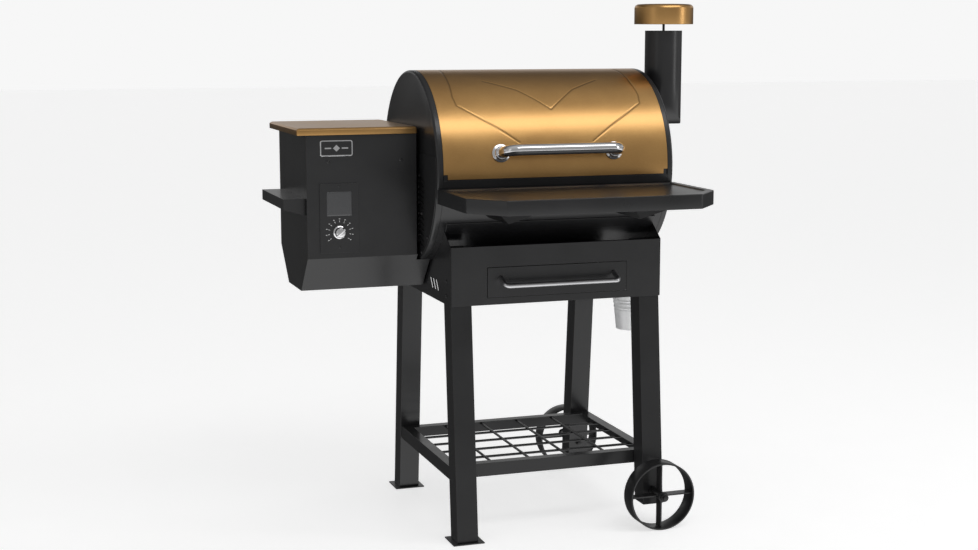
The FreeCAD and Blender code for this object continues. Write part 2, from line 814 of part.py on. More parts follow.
depth = d.grate_half_depth
rack("cooking_grate", d.grate_half_length, -depth, depth, d.grate_height, 3.0, 21, d.grate_half_length)
rack("warming_rack", d.grate_half_length - 12, as_size(-70), as_size(140), as_size(930), 2.5, 17, inner_end)

node("drip_tray", prism(
    "drip_tray", "xz",
    [(-inner_end, 765), (inner_end, 751), (inner_end, 749), (-inner_end, 763)], -172, 172
))
baffle_sheet = prism(
    "baffle_sheet", "xz",
    [(-172, 648), (-170, 648), (-170, 728), (108, 728), (108, 648), (110, 648), (110, 730), (-172, 730)],
    -90, 110
)
baffle_hole = rod("baffle_hole", "x", d.auger_tube_radius, 20, (-181, d.auger_y, d.auger_height))
node("heat_baffle", cut("heat_baffle", baffle_sheet, baffle_hole))

pot_y, pot_z = d.auger_y, d.auger_height
pot = turned("firepot_cup", [
    (0, 0), (d.firepot_radius, 0), (d.firepot_radius, 62), (d.firepot_radius - 2.5, 62),
    (d.firepot_radius - 2.5, 3), (0, 3),
], (d.firepot_x, pot_y, 641))
tube_radius = d.auger_tube_radius
tube_start, tube_end = -502.0, d.firepot_x - d.firepot_radius + 6
pot_mouth = rod("pot_mouth", "x", tube_radius, 30, (tube_end - 30, pot_y, pot_z))
igniter_hole = rod("igniter_hole", "x", 4, 30, (d.firepot_x + 30, pot_y, 658))
node("firepot", cut("firepot", pot, pot_mouth, igniter_hole))
node("igniter_and_probe", group(
    "igniter_and_probe",
    rod("igniter_rod", "x", 4, 62, (d.firepot_x + 38, pot_y, 658)),
    rod("temperature_probe", "x", 2.5, 46, (-inner_end, -120, 880)),
))


# ---------------------------------------------------------------- pellet feed
tube_body = rod("auger_pipe", "x", tube_radius, tube_end - tube_start, (tube_start, pot_y, pot_z))
tube_core = rod("auger_pipe_core", "x", tube_radius - 2, 500, (tube_start - 10, pot_y, pot_z))
tube_inlet = box("auger_inlet", -470, -350, pot_y - 18, pot_y + 18, pot_z + 8, pot_z + 40)
node("auger_tube", cut("auger_tube", tube_body, tube_core, tube_inlet))

screw_start, screw_end, pitch = -496.0, -96.0, 40.0
shaft_radius, flight_radius = 6.0, 21.0
helix = Part.makeHelix(pitch, screw_end - screw_start, shaft_radius + 1)
flight_edge = Part.makePolygon([
    FreeCAD.Vector(shaft_radius - 1, 0, -1.25),
    FreeCAD.Vector(flight_radius, 0, -1.25),
    FreeCAD.Vector(flight_radius, 0, 1.25),
    FreeCAD.Vector(shaft_radius - 1, 0, 1.25),
    FreeCAD.Vector(shaft_radius - 1, 0, -1.25),
])
flight = Part.Wire(helix).makePipeShell([flight_edge], True, True)
shaft = Part.makeCylinder(shaft_radius, screw_end - screw_start + 26, FreeCAD.Vector(0, 0, -20))
screw = doc.addObject("Part::Feature", "auger_screw")
screw.Shape = shaft.fuse(flight)
place(screw, screw_start, pot_y, pot_z, UPRIGHT["x"])
node("auger_screw", screw)

gearbox = fuse(
    "auger_gearbox",
    box("gear_case", -542, tube_start, pot_y - 28, pot_y + 28, 640, 696),
    rod("motor_can", "z", 19, 50, (-520, pot_y, 592)),
)
gear_bore = rod("gear_bore", "x", shaft_radius + d.bore_gap, 40, (screw_start - 24, pot_y, pot_z))
node("auger_motor", cut("auger_motor", gearbox, gear_bore))

fan_x, fan_y, fan_z = -404.0, 66.0, 603.0
housing = rod("fan_case", "x", 36, 44, (fan_x, fan_y, fan_z))
cavity = rod("fan_cavity", "x", 33, 40, (fan_x + 2, fan_y, fan_z))
intake = rod("fan_intake", "x", 18, 10, (fan_x - 5, fan_y, fan_z))
spindle = rod("fan_spindle", "x", 2.5, 30, (fan_x + 14, fan_y, fan_z))
node("fan_housing", fuse("fan_housing", cut("fan_scroll", housing, cavity, intake), spindle))

impeller = doc.addObject("PartDesign::Body", "fan_impeller")
for part_name, reach, thick in (("disc", 29.0, 2.0), ("hub", 7.0, 22.0)):
    outline = new_sketch(impeller, f"impeller_{part_name}_outline", "xy")
    draw_circle(outline, 0, 0, reach)
    pad = impeller.newObject("PartDesign::Pad", f"impeller_{part_name}")
    pad.Profile = outline
    bind(pad, "Length", thick)
blade_sketch = new_sketch(impeller, "impeller_blade_outline", "xy")
draw_polygon(blade_sketch, [(14, -0.8), (28.5, -0.8), (28.5, 0.8), (14, 0.8)])
blade = impeller.newObject("PartDesign::Pad", "impeller_blade")
blade.Profile = blade_sketch
bind(blade, "Length", 20)
blades = impeller.newObject("PartDesign::PolarPattern", "impeller_blades")
blades.Originals = [blade]
blades.Axis = (blade_sketch, ["N_Axis"])
blades.Angle = 360
blades.Occurrences = 12
impeller.Tip = blades
bore_sketch = new_sketch(impeller, "impeller_bore_outline", "xy")
draw_circle(bore_sketch, 0, 0, 2.5 + d.bore_gap)
bore = impeller.newObject("PartDesign::Pocket", "impeller_bore")
bore.Profile = bore_sketch
bore.Type = "ThroughAll"
bore.Midplane = True
impeller.Tip = bore
place(impeller, fan_x + 38, fan_y, fan_z, FreeCAD.Rotation(Y_AXIS, -90))
node("fan_impeller", impeller)


# ---------------------------------------------------------------- hopper
left, right = -d.hopper_left, -d.hopper_right
h_front, h_rear = -d.hopper_front, d.hopper_rear
skin = d.sheet


def hopper_form(key, inset, top):
    """The hopper's outline: an upright box on a V-shaped foot with a chin under the barrel."""
    upper = box(key + "_upper", left + inset, right - inset, h_front + inset, h_rear - inset,
                d.hopper_bend - 1, top)
    foot = prism(key + "_foot", "yz", [
        (h_front + inset, d.hopper_bend),
        (d.hopper_floor_front + inset, d.hopper_bottom + inset),
        (d.hopper_floor_rear - inset, d.hopper_bottom + inset),
        (h_rear - inset, d.hopper_bend),
    ], left + inset, -d.hopper_chin_right - inset)
    room = rod(key + "_room", "x", radius + inset, 60, (-d.barrel_half_length - 8 - inset, 0, axis_height))
    return fuse(key, upper, cut(key + "_chin", foot, room))


outside = hopper_form("hopper_outside", 0.0, d.hopper_top)
inside = hopper_form("hopper_inside", skin, d.hopper_top + 5)
hopper_tools = [inside, rod("hopper_auger_hole", "x", tube_radius, 30, (right - 15, pot_y, pot_z))]
node("hopper_body", cut("hopper_body", outside, *hopper_tools))


def funnel_form(key, inset, low, high):
    """A four-sided funnel from the hopper's walls down to the auger's inlet."""
    wedge = doc.addObject("Part::Wedge", key)
    top_x, top_y = (left + skin + inset, right - skin - inset), (h_front + skin + inset, h_rear - skin - inset)
    low_x, low_y = (-466 + inset, -354 - inset), (pot_y - 16 + inset, pot_y + 16 - inset)
    # the wedge tapers along its own Y, which is turned to point up, so its own Z runs towards -Y
    bind(wedge, "Ymin", low)
    bind(wedge, "Ymax", high)
    for tail, (x0, x1), (y0, y1) in (("", low_x, low_y), ("2", top_x, top_y)):
        bind(wedge, f"X{tail}min", x0)
        bind(wedge, f"X{tail}max", x1)
        bind(wedge, f"Z{tail}min", -as_size(y1))
        bind(wedge, f"Z{tail}max", -as_size(y0))
    return place(wedge, 0, 0, 0, FreeCAD.Rotation(X_AXIS, 90))


node("hopper_funnel", cut(
    "hopper_funnel", funnel_form("funnel_outside", 0.0, 694, 850), funnel_form("funnel_inside", 2.0, 694, 850)
))

lid_low, lid_high = d.hopper_top + 1, d.hopper_top + 1 + d.hopper_lid_height
lid_left, lid_right = left - d.hopper_lid_overhang, right + 0.5
lid_front, lid_rear = h_front - d.hopper_lid_lap, h_rear + d.hopper_lid_lap
bevel = 3.0
pin_y, pin_z = lid_rear + 6, lid_low + 3.5
lid_cover = prism("hopper_lid_cover", "xz", [
    (lid_left, lid_low), (lid_left, lid_high - bevel), (lid_left + bevel, lid_high),
    (lid_right, lid_high), (lid_right, lid_low),
], lid_front, lid_rear)
lid_room = box("hopper_lid_room", lid_left + 2, lid_right - 2, lid_front + 2, lid_rear - 2, lid_low - 5,
               lid_high - 3.5)
lid_knuckles = []
for key, low, high in (("left", left + 2, left + 40), ("right", right - 40, right - 2)):
    lid_knuckles.append(rod(f"hopper_knuckle_{key}", "x", 5, high - low, (low, pin_y, pin_z)))
    lid_knuckles.append(box(f"hopper_tab_{key}", low, high, lid_rear - 1, pin_y, pin_z - 3, pin_z + 3))
hopper_pin_bore = rod("hopper_pin_bore", "x", pin_radius + d.bore_gap, 320, (left - 20, pin_y, pin_z))
lid_raw = cut("hopper_lid_raw", lid_cover, lid_room)
node("hopper_lid", cut("hopper_lid", fuse("hopper_lid_joined", lid_raw, *lid_knuckles), hopper_pin_bore))

hold_left, hold_right = left + 40.5, right - 40.5
hold = fuse(
    "hopper_hold_raw",
    rod("hopper_hold_knuckle", "x", 5, hold_right - hold_left, (hold_left, pin_y, pin_z)),
    box("hopper_hold_web", hold_left, hold_right, h_rear, pin_y + 2, pin_z - 14, pin_z - 5),
    box("hopper_hold_neck", hold_left, hold_right, pin_y - 2, pin_y + 2, pin_z - 8, pin_z - 3),
)
hold_bore = rod("hopper_hold_bore", "x", pin_radius, 320, (left - 20, pin_y, pin_z))
fixed_leaves.append(cut("hopper_hinge_bracket", hold, hold_bore))
node("fixed_hinge_leaves", group("fixed_hinge_leaves", *fixed_leaves))
pins.append(rod("hopper_hinge_pin", "x", pin_radius, right - left - 2, (left + 1, pin_y, pin_z)))
node("hinge_pins", group("hinge_pins", *pins))


# ---------------------------------------------------------------- controller
panel_left, panel_right = d.panel_x - d.panel_half_width, d.panel_x + d.panel_half_width
plate = box("panel_plate", panel_left, panel_right, h_front - 2, h_front, d.panel_bottom, d.panel_top)
window = box("display_window", d.panel_x - d.display_half_width, d.panel_x + d.display_half_width,
             h_front - 5, h_front - 1, d.display_bottom, d.display_top)
knob_bore = rod("knob_bore", "y", 3 + d.bore_gap, 20, (d.panel_x, h_front - 10, d.knob_height))
node("controller_panel", cut("controller_panel", plate, window, knob_bore))
node("display_lens", box(
    "display_lens", d.panel_x - d.display_half_width + 0.3, d.panel_x + d.display_half_width - 0.3,
    h_front - 1.8, h_front - 1, d.display_bottom + 0.3, d.display_top - 0.3
))
knob_face = turned("knob_cap", [
    (0, -1.7), (3, -1.7), (3, 0.4), (d.knob_radius + 1.5, 0.4), (d.knob_radius + 1.5, 2.4),
    (d.knob_radius - 1, 3.4), (d.knob_radius - 2.5, d.knob_depth - 1.5), (d.knob_radius - 4, d.knob_depth),
    (0, d.knob_depth),
], (0, 0, 0))
place(knob_face, d.panel_x, h_front - 2, d.knob_height, FreeCAD.Rotation(X_AXIS, 90))
node("control_knob", knob_face)
node("badge_plate", box("badge_plate", -521, -446, h_front - 1.4, h_front, 876, 912))

inlet = cut(
    "inlet_ring",
    box("inlet_frame", -450, -394, h_rear, h_rear + 4, 700, 736),
    box("inlet_recess", -443, -401, h_rear + 1.5, h_rear + 6, 707, 729),
)
node("power_inlet", inlet)


# ---------------------------------------------------------------- side handle
grip_left = left - d.grip_standoff
grip_parts = [
    box("grip_top", grip_left, left, -d.grip_front, d.grip_rear, d.grip_top - 1.5, d.grip_top),
    box("grip_flange", grip_left, grip_left + 1.5, -d.grip_front, d.grip_rear,
        d.grip_top - d.grip_drop, d.grip_top),
]
for key, start in (("front", -d.grip_front), ("rear", d.grip_rear - 1.5)):
    grip_parts.append(prism(f"grip_gusset_{key}", "xz", [
        (grip_left, d.grip_top), (grip_left, d.grip_top - d.grip_drop),
        (left, d.grip_top - d.grip_gusset), (left, d.grip_top),
    ], start, start + 1.5))
node("side_handle", fuse("side_handle", *grip_parts))


# ---------------------------------------------------------------- front shelf
def shelf_outline(inset):
    """The shelf's plan: a rectangle with its two front corners cut off."""
    half, front_y = d.shelf_half_width - inset, -d.shelf_front + inset
    side_x, side_y = d.shelf_corner_x - inset * 0.5, d.shelf_corner_y - inset * 0.5
    back_y = -d.shelf_back - inset
    return [
        (-half, back_y), (-half, front_y + side_y), (-half + side_x, front_y),
        (half - side_x, front_y), (half, front_y + side_y), (half, back_y),
    ]


slab = prism("shelf_slab", "xy", shelf_outline(as_size(0)), d.shelf_bottom, d.shelf_top)
well = prism("shelf_well", "xy", shelf_outline(d.shelf_lip), d.shelf_top - 3, d.shelf_top + 5)
under = prism("shelf_under", "xy", shelf_outline(d.sheet), d.shelf_bottom - 5, d.shelf_top - 4.5)
node("front_shelf", cut("front_shelf", slab, well, under))

brackets = []
for side, sign in SIDES:
    centre = 157.0 * sign
    half = 54.0
    gusset = prism(f"bracket_front_{side}", "xz", [
        (centre - half, d.shelf_top - 4.5), (centre - half, 772), (centre, 736), (centre + half, 772),
        (centre + half, d.shelf_top - 4.5),
    ], -430, -150)
    taper = prism(f"bracket_side_{side}", "yz", [
        (-420, d.shelf_top - 4), (-420, 774), (-330, 736), (-150, 712), (-150, d.shelf_top - 4),
    ], centre - half - 1, centre + half + 1)
    core_front = prism(f"bracket_core_front_{side}", "xz", [
        (centre - half + 2, d.shelf_top + 5), (centre - half + 2, 773), (centre, 738.5),
        (centre + half - 2, 773), (centre + half - 2, d.shelf_top + 5),
    ], -418, -140)
    core_side = prism(f"bracket_core_side_{side}", "yz", [
        (-418, d.shelf_top + 6), (-418, 776.5), (-330, 739), (-140, 714), (-140, d.shelf_top + 6),
    ], centre - half - 1, centre + half + 1)
    core = common(f"bracket_core_{side}", core_front, core_side)
    skirt = box(f"bracket_skirt_{side}", centre - half - 10, centre + half + 10, -d.shelf_back - d.sheet - 0.2,
                -d.shelf_back + 0.2, d.shelf_bottom - 0.2, d.shelf_top + 5)
    drum = rod(f"bracket_drum_{side}", "x", radius, half * 2 + 20, (centre - half - 10, 0, axis_height))
    brackets.append(cut(f"bracket_{side}", common(f"bracket_raw_{side}", gusset, taper), drum, core,
                        skirt))
node("shelf_brackets", group("shelf_brackets", *brackets))


# ---------------------------------------------------------------- drawer
half = d.drawer_half_width
node("drawer_front", box("drawer_front", -half, half, face - 1, face + 1, d.drawer_bottom, d.drawer_top))
box_half = half - 10
node("drawer_box", cut(
    "drawer_box",
    box("drawer_outside", -box_half, box_half, face + 1, face + 1 + d.drawer_depth, 562, d.drawer_wall_top),
    box("drawer_inside", -box_half + 1.5, box_half - 1.5, face + 2.5, face - 0.5 + d.drawer_depth, 563.5,
        d.drawer_wall_top + 5),
))
runners = []
for side, sign in SIDES:
    web_low, web_high = (half + 2, half + 3.5) if sign > 0 else (-(half + 3.5), -(half + 2))
    foot_low, foot_high = (half - 20, half + 3.5) if sign > 0 else (-(half + 3.5), -(half - 20))
    runners.append(fuse(
        f"runner_{side}",
        box(f"runner_web_{side}", web_low, web_high, face + d.sheet, bar_y_front, 560, 600),
        box(f"runner_foot_{side}", foot_low, foot_high, face + d.sheet + 2, bar_y_front, 560, 561.4),
    ))
node("drawer_runners", group("drawer_runners", *runners))

pull, reach = d.pull_radius, d.pull_standoff
pull_y, pull_z = face - 1 - reach, d.pull_height - d.pull_drop
pull_parts = [rod("pull_bar", "x", pull, d.pull_half_span * 2, (-d.pull_half_span, pull_y, pull_z))]
leg_way = FreeCAD.Vector(0, -reach.value, -d.pull_drop.value)
for side, sign in SIDES:
    x = d.pull_half_span * sign
    stub = doc.addObject("Part::Cylinder", f"pull_leg_{side}")
    bind(stub, "Radius", pull)
    bind(stub, "Height", leg_way.Length)
    place(stub, x, face - 1, d.pull_height, FreeCAD.Rotation(Z_AXIS, leg_way))
    ball = doc.addObject("Part::Sphere", f"pull_corner_{side}")
    bind(ball, "Radius", pull)
    pull_parts += [stub, place(ball, x, pull_y, pull_z)]
trim = box("pull_trim", -200, 200, face - 1, face + 20, 550, 640)
node("drawer_pull", cut("drawer_pull", fuse("drawer_pull_raw", *pull_parts), trim))


# ---------------------------------------------------------------- chimney
pipe, pipe_x, elbow_z = d.chimney_radius, d.chimney_x, d.chimney_elbow_height


def elbow_form(key, pipe_radius, extra):
    """An upright pipe and a level one, joined on a 45 degree mitre."""
    upright = rod(key + "_upright", "z", pipe_radius, d.chimney_top - elbow_z + 60 + extra,
                  (pipe_x, 0, elbow_z - 60))
    level = rod(key + "_level", "x", pipe_radius, pipe_x - d.barrel_half_length + 60 + extra,
                (d.barrel_half_length - extra, 0, elbow_z))
    reach_out = 400
    upper = prism(key + "_upper_half", "xz", [
        (pipe_x - reach_out, elbow_z + reach_out), (pipe_x + 100, elbow_z - 100),
        (pipe_x + 100, elbow_z + reach_out),
    ], -60, 60)
    lower = prism(key + "_lower_half", "xz", [
        (pipe_x - reach_out, elbow_z + reach_out), (pipe_x - reach_out, elbow_z - 100),
        (pipe_x + 100, elbow_z - 100),
    ], -60, 60)
    return fuse(key, common(key + "_up", upright, upper), common(key + "_down", level, lower))


flange = rod("flue_flange", "x", pipe + 14, 2, (d.barrel_half_length, 0, elbow_z))
node("chimney_pipe", cut(
    "chimney_pipe",
    fuse("chimney_solid", elbow_form("flue_outside", pipe, 0), flange),
    elbow_form("flue_inside", pipe - d.sheet, 5),
))
node("chimney_stem", fuse(
    "chimney_stem",
    rod("stem_rod", "z", d.stem_radius, 64, (pipe_x, 0, d.chimney_top - 18)),
    box("stem_bridge", pipe_x - 5, pipe_x + 5, -(pipe - 1.9), pipe - 1.9, d.chimney_top - 20,
        d.chimney_top - 17),
))
cap, high = d.cap_radius, d.cap_top - d.cap_bottom
node("chimney_cap", turned("chimney_cap", [
    (cap, 0), (cap, high - 8), (cap - 2, high - 3), (cap - 7, high), (0, high), (0, 31.5),
    (d.stem_radius + d.bore_gap, 31.5), (d.stem_radius + d.bore_gap, 14), (9, 14), (9, high - 2.5),
    (cap - 8, high - 2.5), (cap - 4, high - 5), (cap - 2, high - 9), (cap - 2, 0),
], (pipe_x, 0, d.cap_bottom)))


# ---------------------------------------------------------------- grease bucket
bucket_height = d.bucket_top - d.bucket_bottom
foot_r, mouth_r = d.bucket_foot_radius, d.bucket_mouth_radius
bucket_cup = turned("bucket_cup", [
    (0, 3), (foot_r - 2, 3), (foot_r - 2, 0), (foot_r, 0), (mouth_r, bucket_height - 3),
    (mouth_r + 2, bucket_height - 3), (mouth_r + 2, bucket_height), (mouth_r - 1, bucket_height),
    (foot_r - 1, 4.2), (0, 4.2),
], (d.bucket_x, d.bucket_y, d.bucket_bottom))
bail_radius, bail_wire = mouth_r + 5, 1.8
eye_radius, hook_radius = 2.4, 3.0
bail_z = d.bucket_top - 12
eye_bore = rod("eye_bore", "y", eye_radius + d.bore_gap, 160, (d.bucket_x, -80, bail_z))
node("grease_bucket", cut("grease_bucket", bucket_cup, eye_bore))
hook_z = bail_z + 16 + bail_radius - bail_wire - hook_radius - 0.3
arch = doc.addObject("Part::Torus", "bail_arch")
bind(arch, "Radius1", bail_radius)
bind(arch, "Radius2", bail_wire)
arch.Angle3 = 180
arch_turn = FreeCAD.Rotation(Y_AXIS, Z_AXIS, X_AXIS, "XYZ")
place(arch, d.bucket_x, d.bucket_y, bail_z + 16, arch_turn)
bail_parts = [arch]
for end, sign in ENDS:
    y = bail_radius * sign
    bail_parts.append(rod(f"bail_leg_{end}", "z", bail_wire, 16, (d.bucket_x, y, bail_z)))
    low = mouth_r - 4 if sign > 0 else -(mouth_r + 6)
    bail_parts.append(rod(f"bail_eye_{end}", "y", eye_radius, 10, (d.bucket_x, low, bail_z)))
node("bucket_bail", fuse("bucket_bail", *bail_parts))
node("bucket_hook", rod("bucket_hook", "x", hook_radius, 46,
                        (d.leg_half_width + d.sheet, d.bucket_y, hook_z)))

spout_x, spout_y, spout_z, spout_r = 302.0, 22.0, 652.0, 11.0


def spout_form(key, bore_radius, extra):
    """A short level pipe that turns down over the bucket."""
    level = rod(key + "_level", "x", bore_radius, spout_x - inner_end + extra, (inner_end - extra, spout_y, spout_z))
    knee = doc.addObject("Part::Sphere", key + "_knee")
    bind(knee, "Radius", bore_radius)
    place(knee, spout_x, spout_y, spout_z)
    drop = rod(key + "_drop", "z", bore_radius, 52 + extra, (spout_x, spout_y, spout_z - 52 - extra))
    return fuse(key, level, knee, drop)


node("grease_spout", cut(
    "grease_spout", spout_form("spout_outside", spout_r, 0), spout_form("spout_inside", spout_r - 1.5, 4)
))


# ---------------------------------------------------------------- visible screws
screws = []


def screw(axis, radius_, height, start):
    """One low round head in the shared group of screws."""
    screws.append(rod(f"screw_{len(screws)}", axis, radius_, height, start))


for x, z in ((-503, 864), (-334, 865)):
    screw("y", 4.0, 2.2, (x, h_front - 2.2, z))
for z in (670, 809):
    screw("y", 3.0, 1.6, (d.panel_x, h_front - 3.6, z))
for side, sign in SIDES:
    outer = d.leg_half_width + d.sheet
    start = outer if sign > 0 else -(outer + 2)
    for y in (-192, 192):
        for z in (560, 594):
            screw("x", 5.0, 2, (start, y, z))
for y, z in ((-150, 690), (-104, 651), (-86, 826), (-106, 741)):
    screw("x", 3.5, 1.8, (shield_x - 1.8, y, z))
node("panel_screws", group("panel_screws", *screws))


def write_all():
    """Check every object and write one STEP file per node."""
    doc.recompute()
    faults = []
    for thing in doc.Objects:
        if "Invalid" in thing.State or "Error" in thing.State:
            faults.append(f"{thing.Name}: {thing.State}")
    for label, thing in nodes.items():
        shape = thing.Shape
        if shape.isNull() or not shape.isValid() or shape.Volume <= 0:
            faults.append(f"{label}: bad shape")
    if faults:
        raise RuntimeError("; ".join(faults))
    os.makedirs("parts", exist_ok=True)
    for label, thing in nodes.items():
        thing.Shape.exportStep(os.path.join("parts", label + ".step"))
        extent = thing.Shape.BoundBox
        print(f"{label:22s} solids {len(thing.Shape.Solids):3d} volume {thing.Shape.Volume / 1000:9.1f} cm3 "
              f"x {extent.XMin:7.1f} {extent.XMax:7.1f} y {extent.YMin:7.1f} {extent.YMax:7.1f} "
              f"z {extent.ZMin:7.1f} {extent.ZMax:7.1f}")


write_all()
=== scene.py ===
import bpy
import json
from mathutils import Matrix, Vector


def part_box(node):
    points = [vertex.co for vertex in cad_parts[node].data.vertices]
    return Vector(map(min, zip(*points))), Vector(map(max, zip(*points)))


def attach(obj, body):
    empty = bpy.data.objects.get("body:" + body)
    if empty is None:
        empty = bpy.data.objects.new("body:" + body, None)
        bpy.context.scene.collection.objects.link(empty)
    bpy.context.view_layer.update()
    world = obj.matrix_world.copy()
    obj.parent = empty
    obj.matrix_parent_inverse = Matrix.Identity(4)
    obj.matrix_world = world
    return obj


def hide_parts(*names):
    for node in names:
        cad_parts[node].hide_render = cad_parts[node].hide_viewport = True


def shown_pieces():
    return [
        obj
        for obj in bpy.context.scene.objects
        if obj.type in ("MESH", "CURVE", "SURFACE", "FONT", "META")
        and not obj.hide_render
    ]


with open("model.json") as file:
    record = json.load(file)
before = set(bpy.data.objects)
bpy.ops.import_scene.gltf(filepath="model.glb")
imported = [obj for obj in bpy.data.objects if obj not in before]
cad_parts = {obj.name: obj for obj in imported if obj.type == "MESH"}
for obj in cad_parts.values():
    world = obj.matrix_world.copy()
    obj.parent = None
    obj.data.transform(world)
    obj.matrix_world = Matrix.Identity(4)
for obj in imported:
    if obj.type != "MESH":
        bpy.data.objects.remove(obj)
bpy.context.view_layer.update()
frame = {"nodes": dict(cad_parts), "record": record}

# %% [markdown]
# This script dresses a pellet grill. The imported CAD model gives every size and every
# moving body; here each visible part gets a finely shaped surface and a finish.
# The real object is powder-coated sheet steel with a bronze lid, chrome handles and
# a galvanised bucket. Everything below is written in millimetres, because that is how
# sheet metal is dimensioned, and one helper turns it into metres when a mesh is made.

# %% Libraries and units
import json
import math

import bmesh
import bpy
import numpy as np

MM = 0.001
TAU = 2 * math.pi
home = {n: b for b, ns in frame["record"]["behaviour"]["bodies"].items() for n in ns}
slot_of = {s["node"]: s["material_slot"] for s in frame["record"]["subparts"]}


def span(node):
    """Lowest and highest corner of a CAD node, in millimetres."""
    low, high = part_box(node)
    return np.array(low) / MM, np.array(high) / MM


drum_low, drum_high = span("barrel_end_left")
R = (drum_high[2] - drum_low[2]) / 2
AXIS = (drum_high[2] + drum_low[2]) / 2
print("barrel radius", round(R, 1), "axis height", round(AXIS, 1))

# %% [markdown]
# ## Materials
# Powder coat is a smooth, slightly pebbled film. A flat black would look like a hole, so
# the colour drifts a little, the gloss drifts more, and a very fine bump gives the skin
# its orange peel. One helper lays down these three things for every finish, because
# real metals and paints differ mostly in the numbers, not in the recipe. All patterns
# read Object coordinates, so that they stay put in the surface when a part moves.

# %% A helper for layered finishes


def finish(name, dark, light, metallic, rough, size, bump, stretch=(1, 1, 1), coat=0.0, coat_rough=0.1):
    """A Principled surface: colour = mix(dark, light, broad noise), roughness = range of a
    second noise, height = fine noise times bump. stretch squeezes the fine noise along an axis."""
    material = bpy.data.materials.new(name)
    material.use_nodes = True
    nodes, links = material.node_tree.nodes, material.node_tree.links
    shader = nodes["Principled BSDF"]
    shader.inputs["Metallic"].default_value = metallic
    shader.inputs["Coat Weight"].default_value = coat
    shader.inputs["Coat Roughness"].default_value = coat_rough
    where = nodes.new("ShaderNodeTexCoord")
    broad = nodes.new("ShaderNodeTexNoise")
    broad.inputs["Scale"].default_value = 9.0
    broad.inputs["Detail"].default_value = 5.0
    links.new(where.outputs["Object"], broad.inputs["Vector"])
    grain_way = nodes.new("ShaderNodeMapping")
    grain_way.inputs["Scale"].default_value = stretch
    links.new(where.outputs["Object"], grain_way.inputs["Vector"])
    grain = nodes.new("ShaderNodeTexNoise")
    grain.inputs["Scale"].default_value = size
    grain.inputs["Detail"].default_value = 3.0
    links.new(grain_way.outputs["Vector"], grain.inputs["Vector"])
    blend = nodes.new("ShaderNodeMath")
    blend.operation = "MULTIPLY_ADD"
    links.new(grain.outputs["Fac"], blend.inputs[0])
    blend.inputs[1].default_value = 0.5
    links.new(broad.outputs["Fac"], blend.inputs[2])
    tint = nodes.new("ShaderNodeValToRGB")
    tint.color_ramp.elements[0].position = 0.45
    tint.color_ramp.elements[0].color = (*dark, 1)
    tint.color_ramp.elements[1].position = 1.05
    tint.color_ramp.elements[1].color = (*light, 1)
    links.new(blend.outputs[0], tint.inputs["Fac"])
    # For the bronze, painted shade in the pressed lines: the groove depth stored on the lid darkens the colour
    # towards a dark brown.
    if name == "bronze_metallic":
        line = nodes.new("ShaderNodeAttribute")
        line.attribute_name = "groove_shade"
        shade = nodes.new("ShaderNodeMix")
        shade.data_type, shade.blend_type = "RGBA", "MIX"
        shade.inputs["B"].default_value = (0.10, 0.055, 0.02, 1)
        amount = nodes.new("ShaderNodeMath")
        amount.operation = "MULTIPLY"
        amount.inputs[1].default_value = 0.75
        links.new(line.outputs["Fac"], amount.inputs[0])
        links.new(amount.outputs[0], shade.inputs["Factor"])
        links.new(tint.outputs["Color"], shade.inputs["A"])
        links.new(shade.outputs["Result"], shader.inputs["Base Color"])
    else:
        links.new(tint.outputs["Color"], shader.inputs["Base Color"])
    gloss = nodes.new("ShaderNodeMapRange")
    gloss.inputs["From Min"].default_value = 0.4
    gloss.inputs["From Max"].default_value = 1.1
    gloss.inputs["To Min"].default_value = rough[0]
    gloss.inputs["To Max"].default_value = rough[1]
    links.new(blend.outputs[0], gloss.inputs["Value"])
    links.new(gloss.outputs["Result"], shader.inputs["Roughness"])
    relief = nodes.new("ShaderNodeBump")
    relief.inputs["Strength"].default_value = 0.6
    relief.inputs["Distance"].default_value = bump * MM
    links.new(grain.outputs["Fac"], relief.inputs["Height"])
    links.new(relief.outputs["Normal"], shader.inputs["Normal"])
    return material


# %% [markdown]
# Ten finishes cover the whole grill. Black powder coat gets a thin clear coat, the bronze
# is a metal with a grain drawn out along the lid, and chrome is nearly a mirror. The pail
# is zinc in bright flakes, which scatters part of the light, so it is less of a metal. The
# printed marks of the dial are a plain pale ink. Two colours per finish keep it from
# looking flat, and the roughness runs over a range for the same reason.

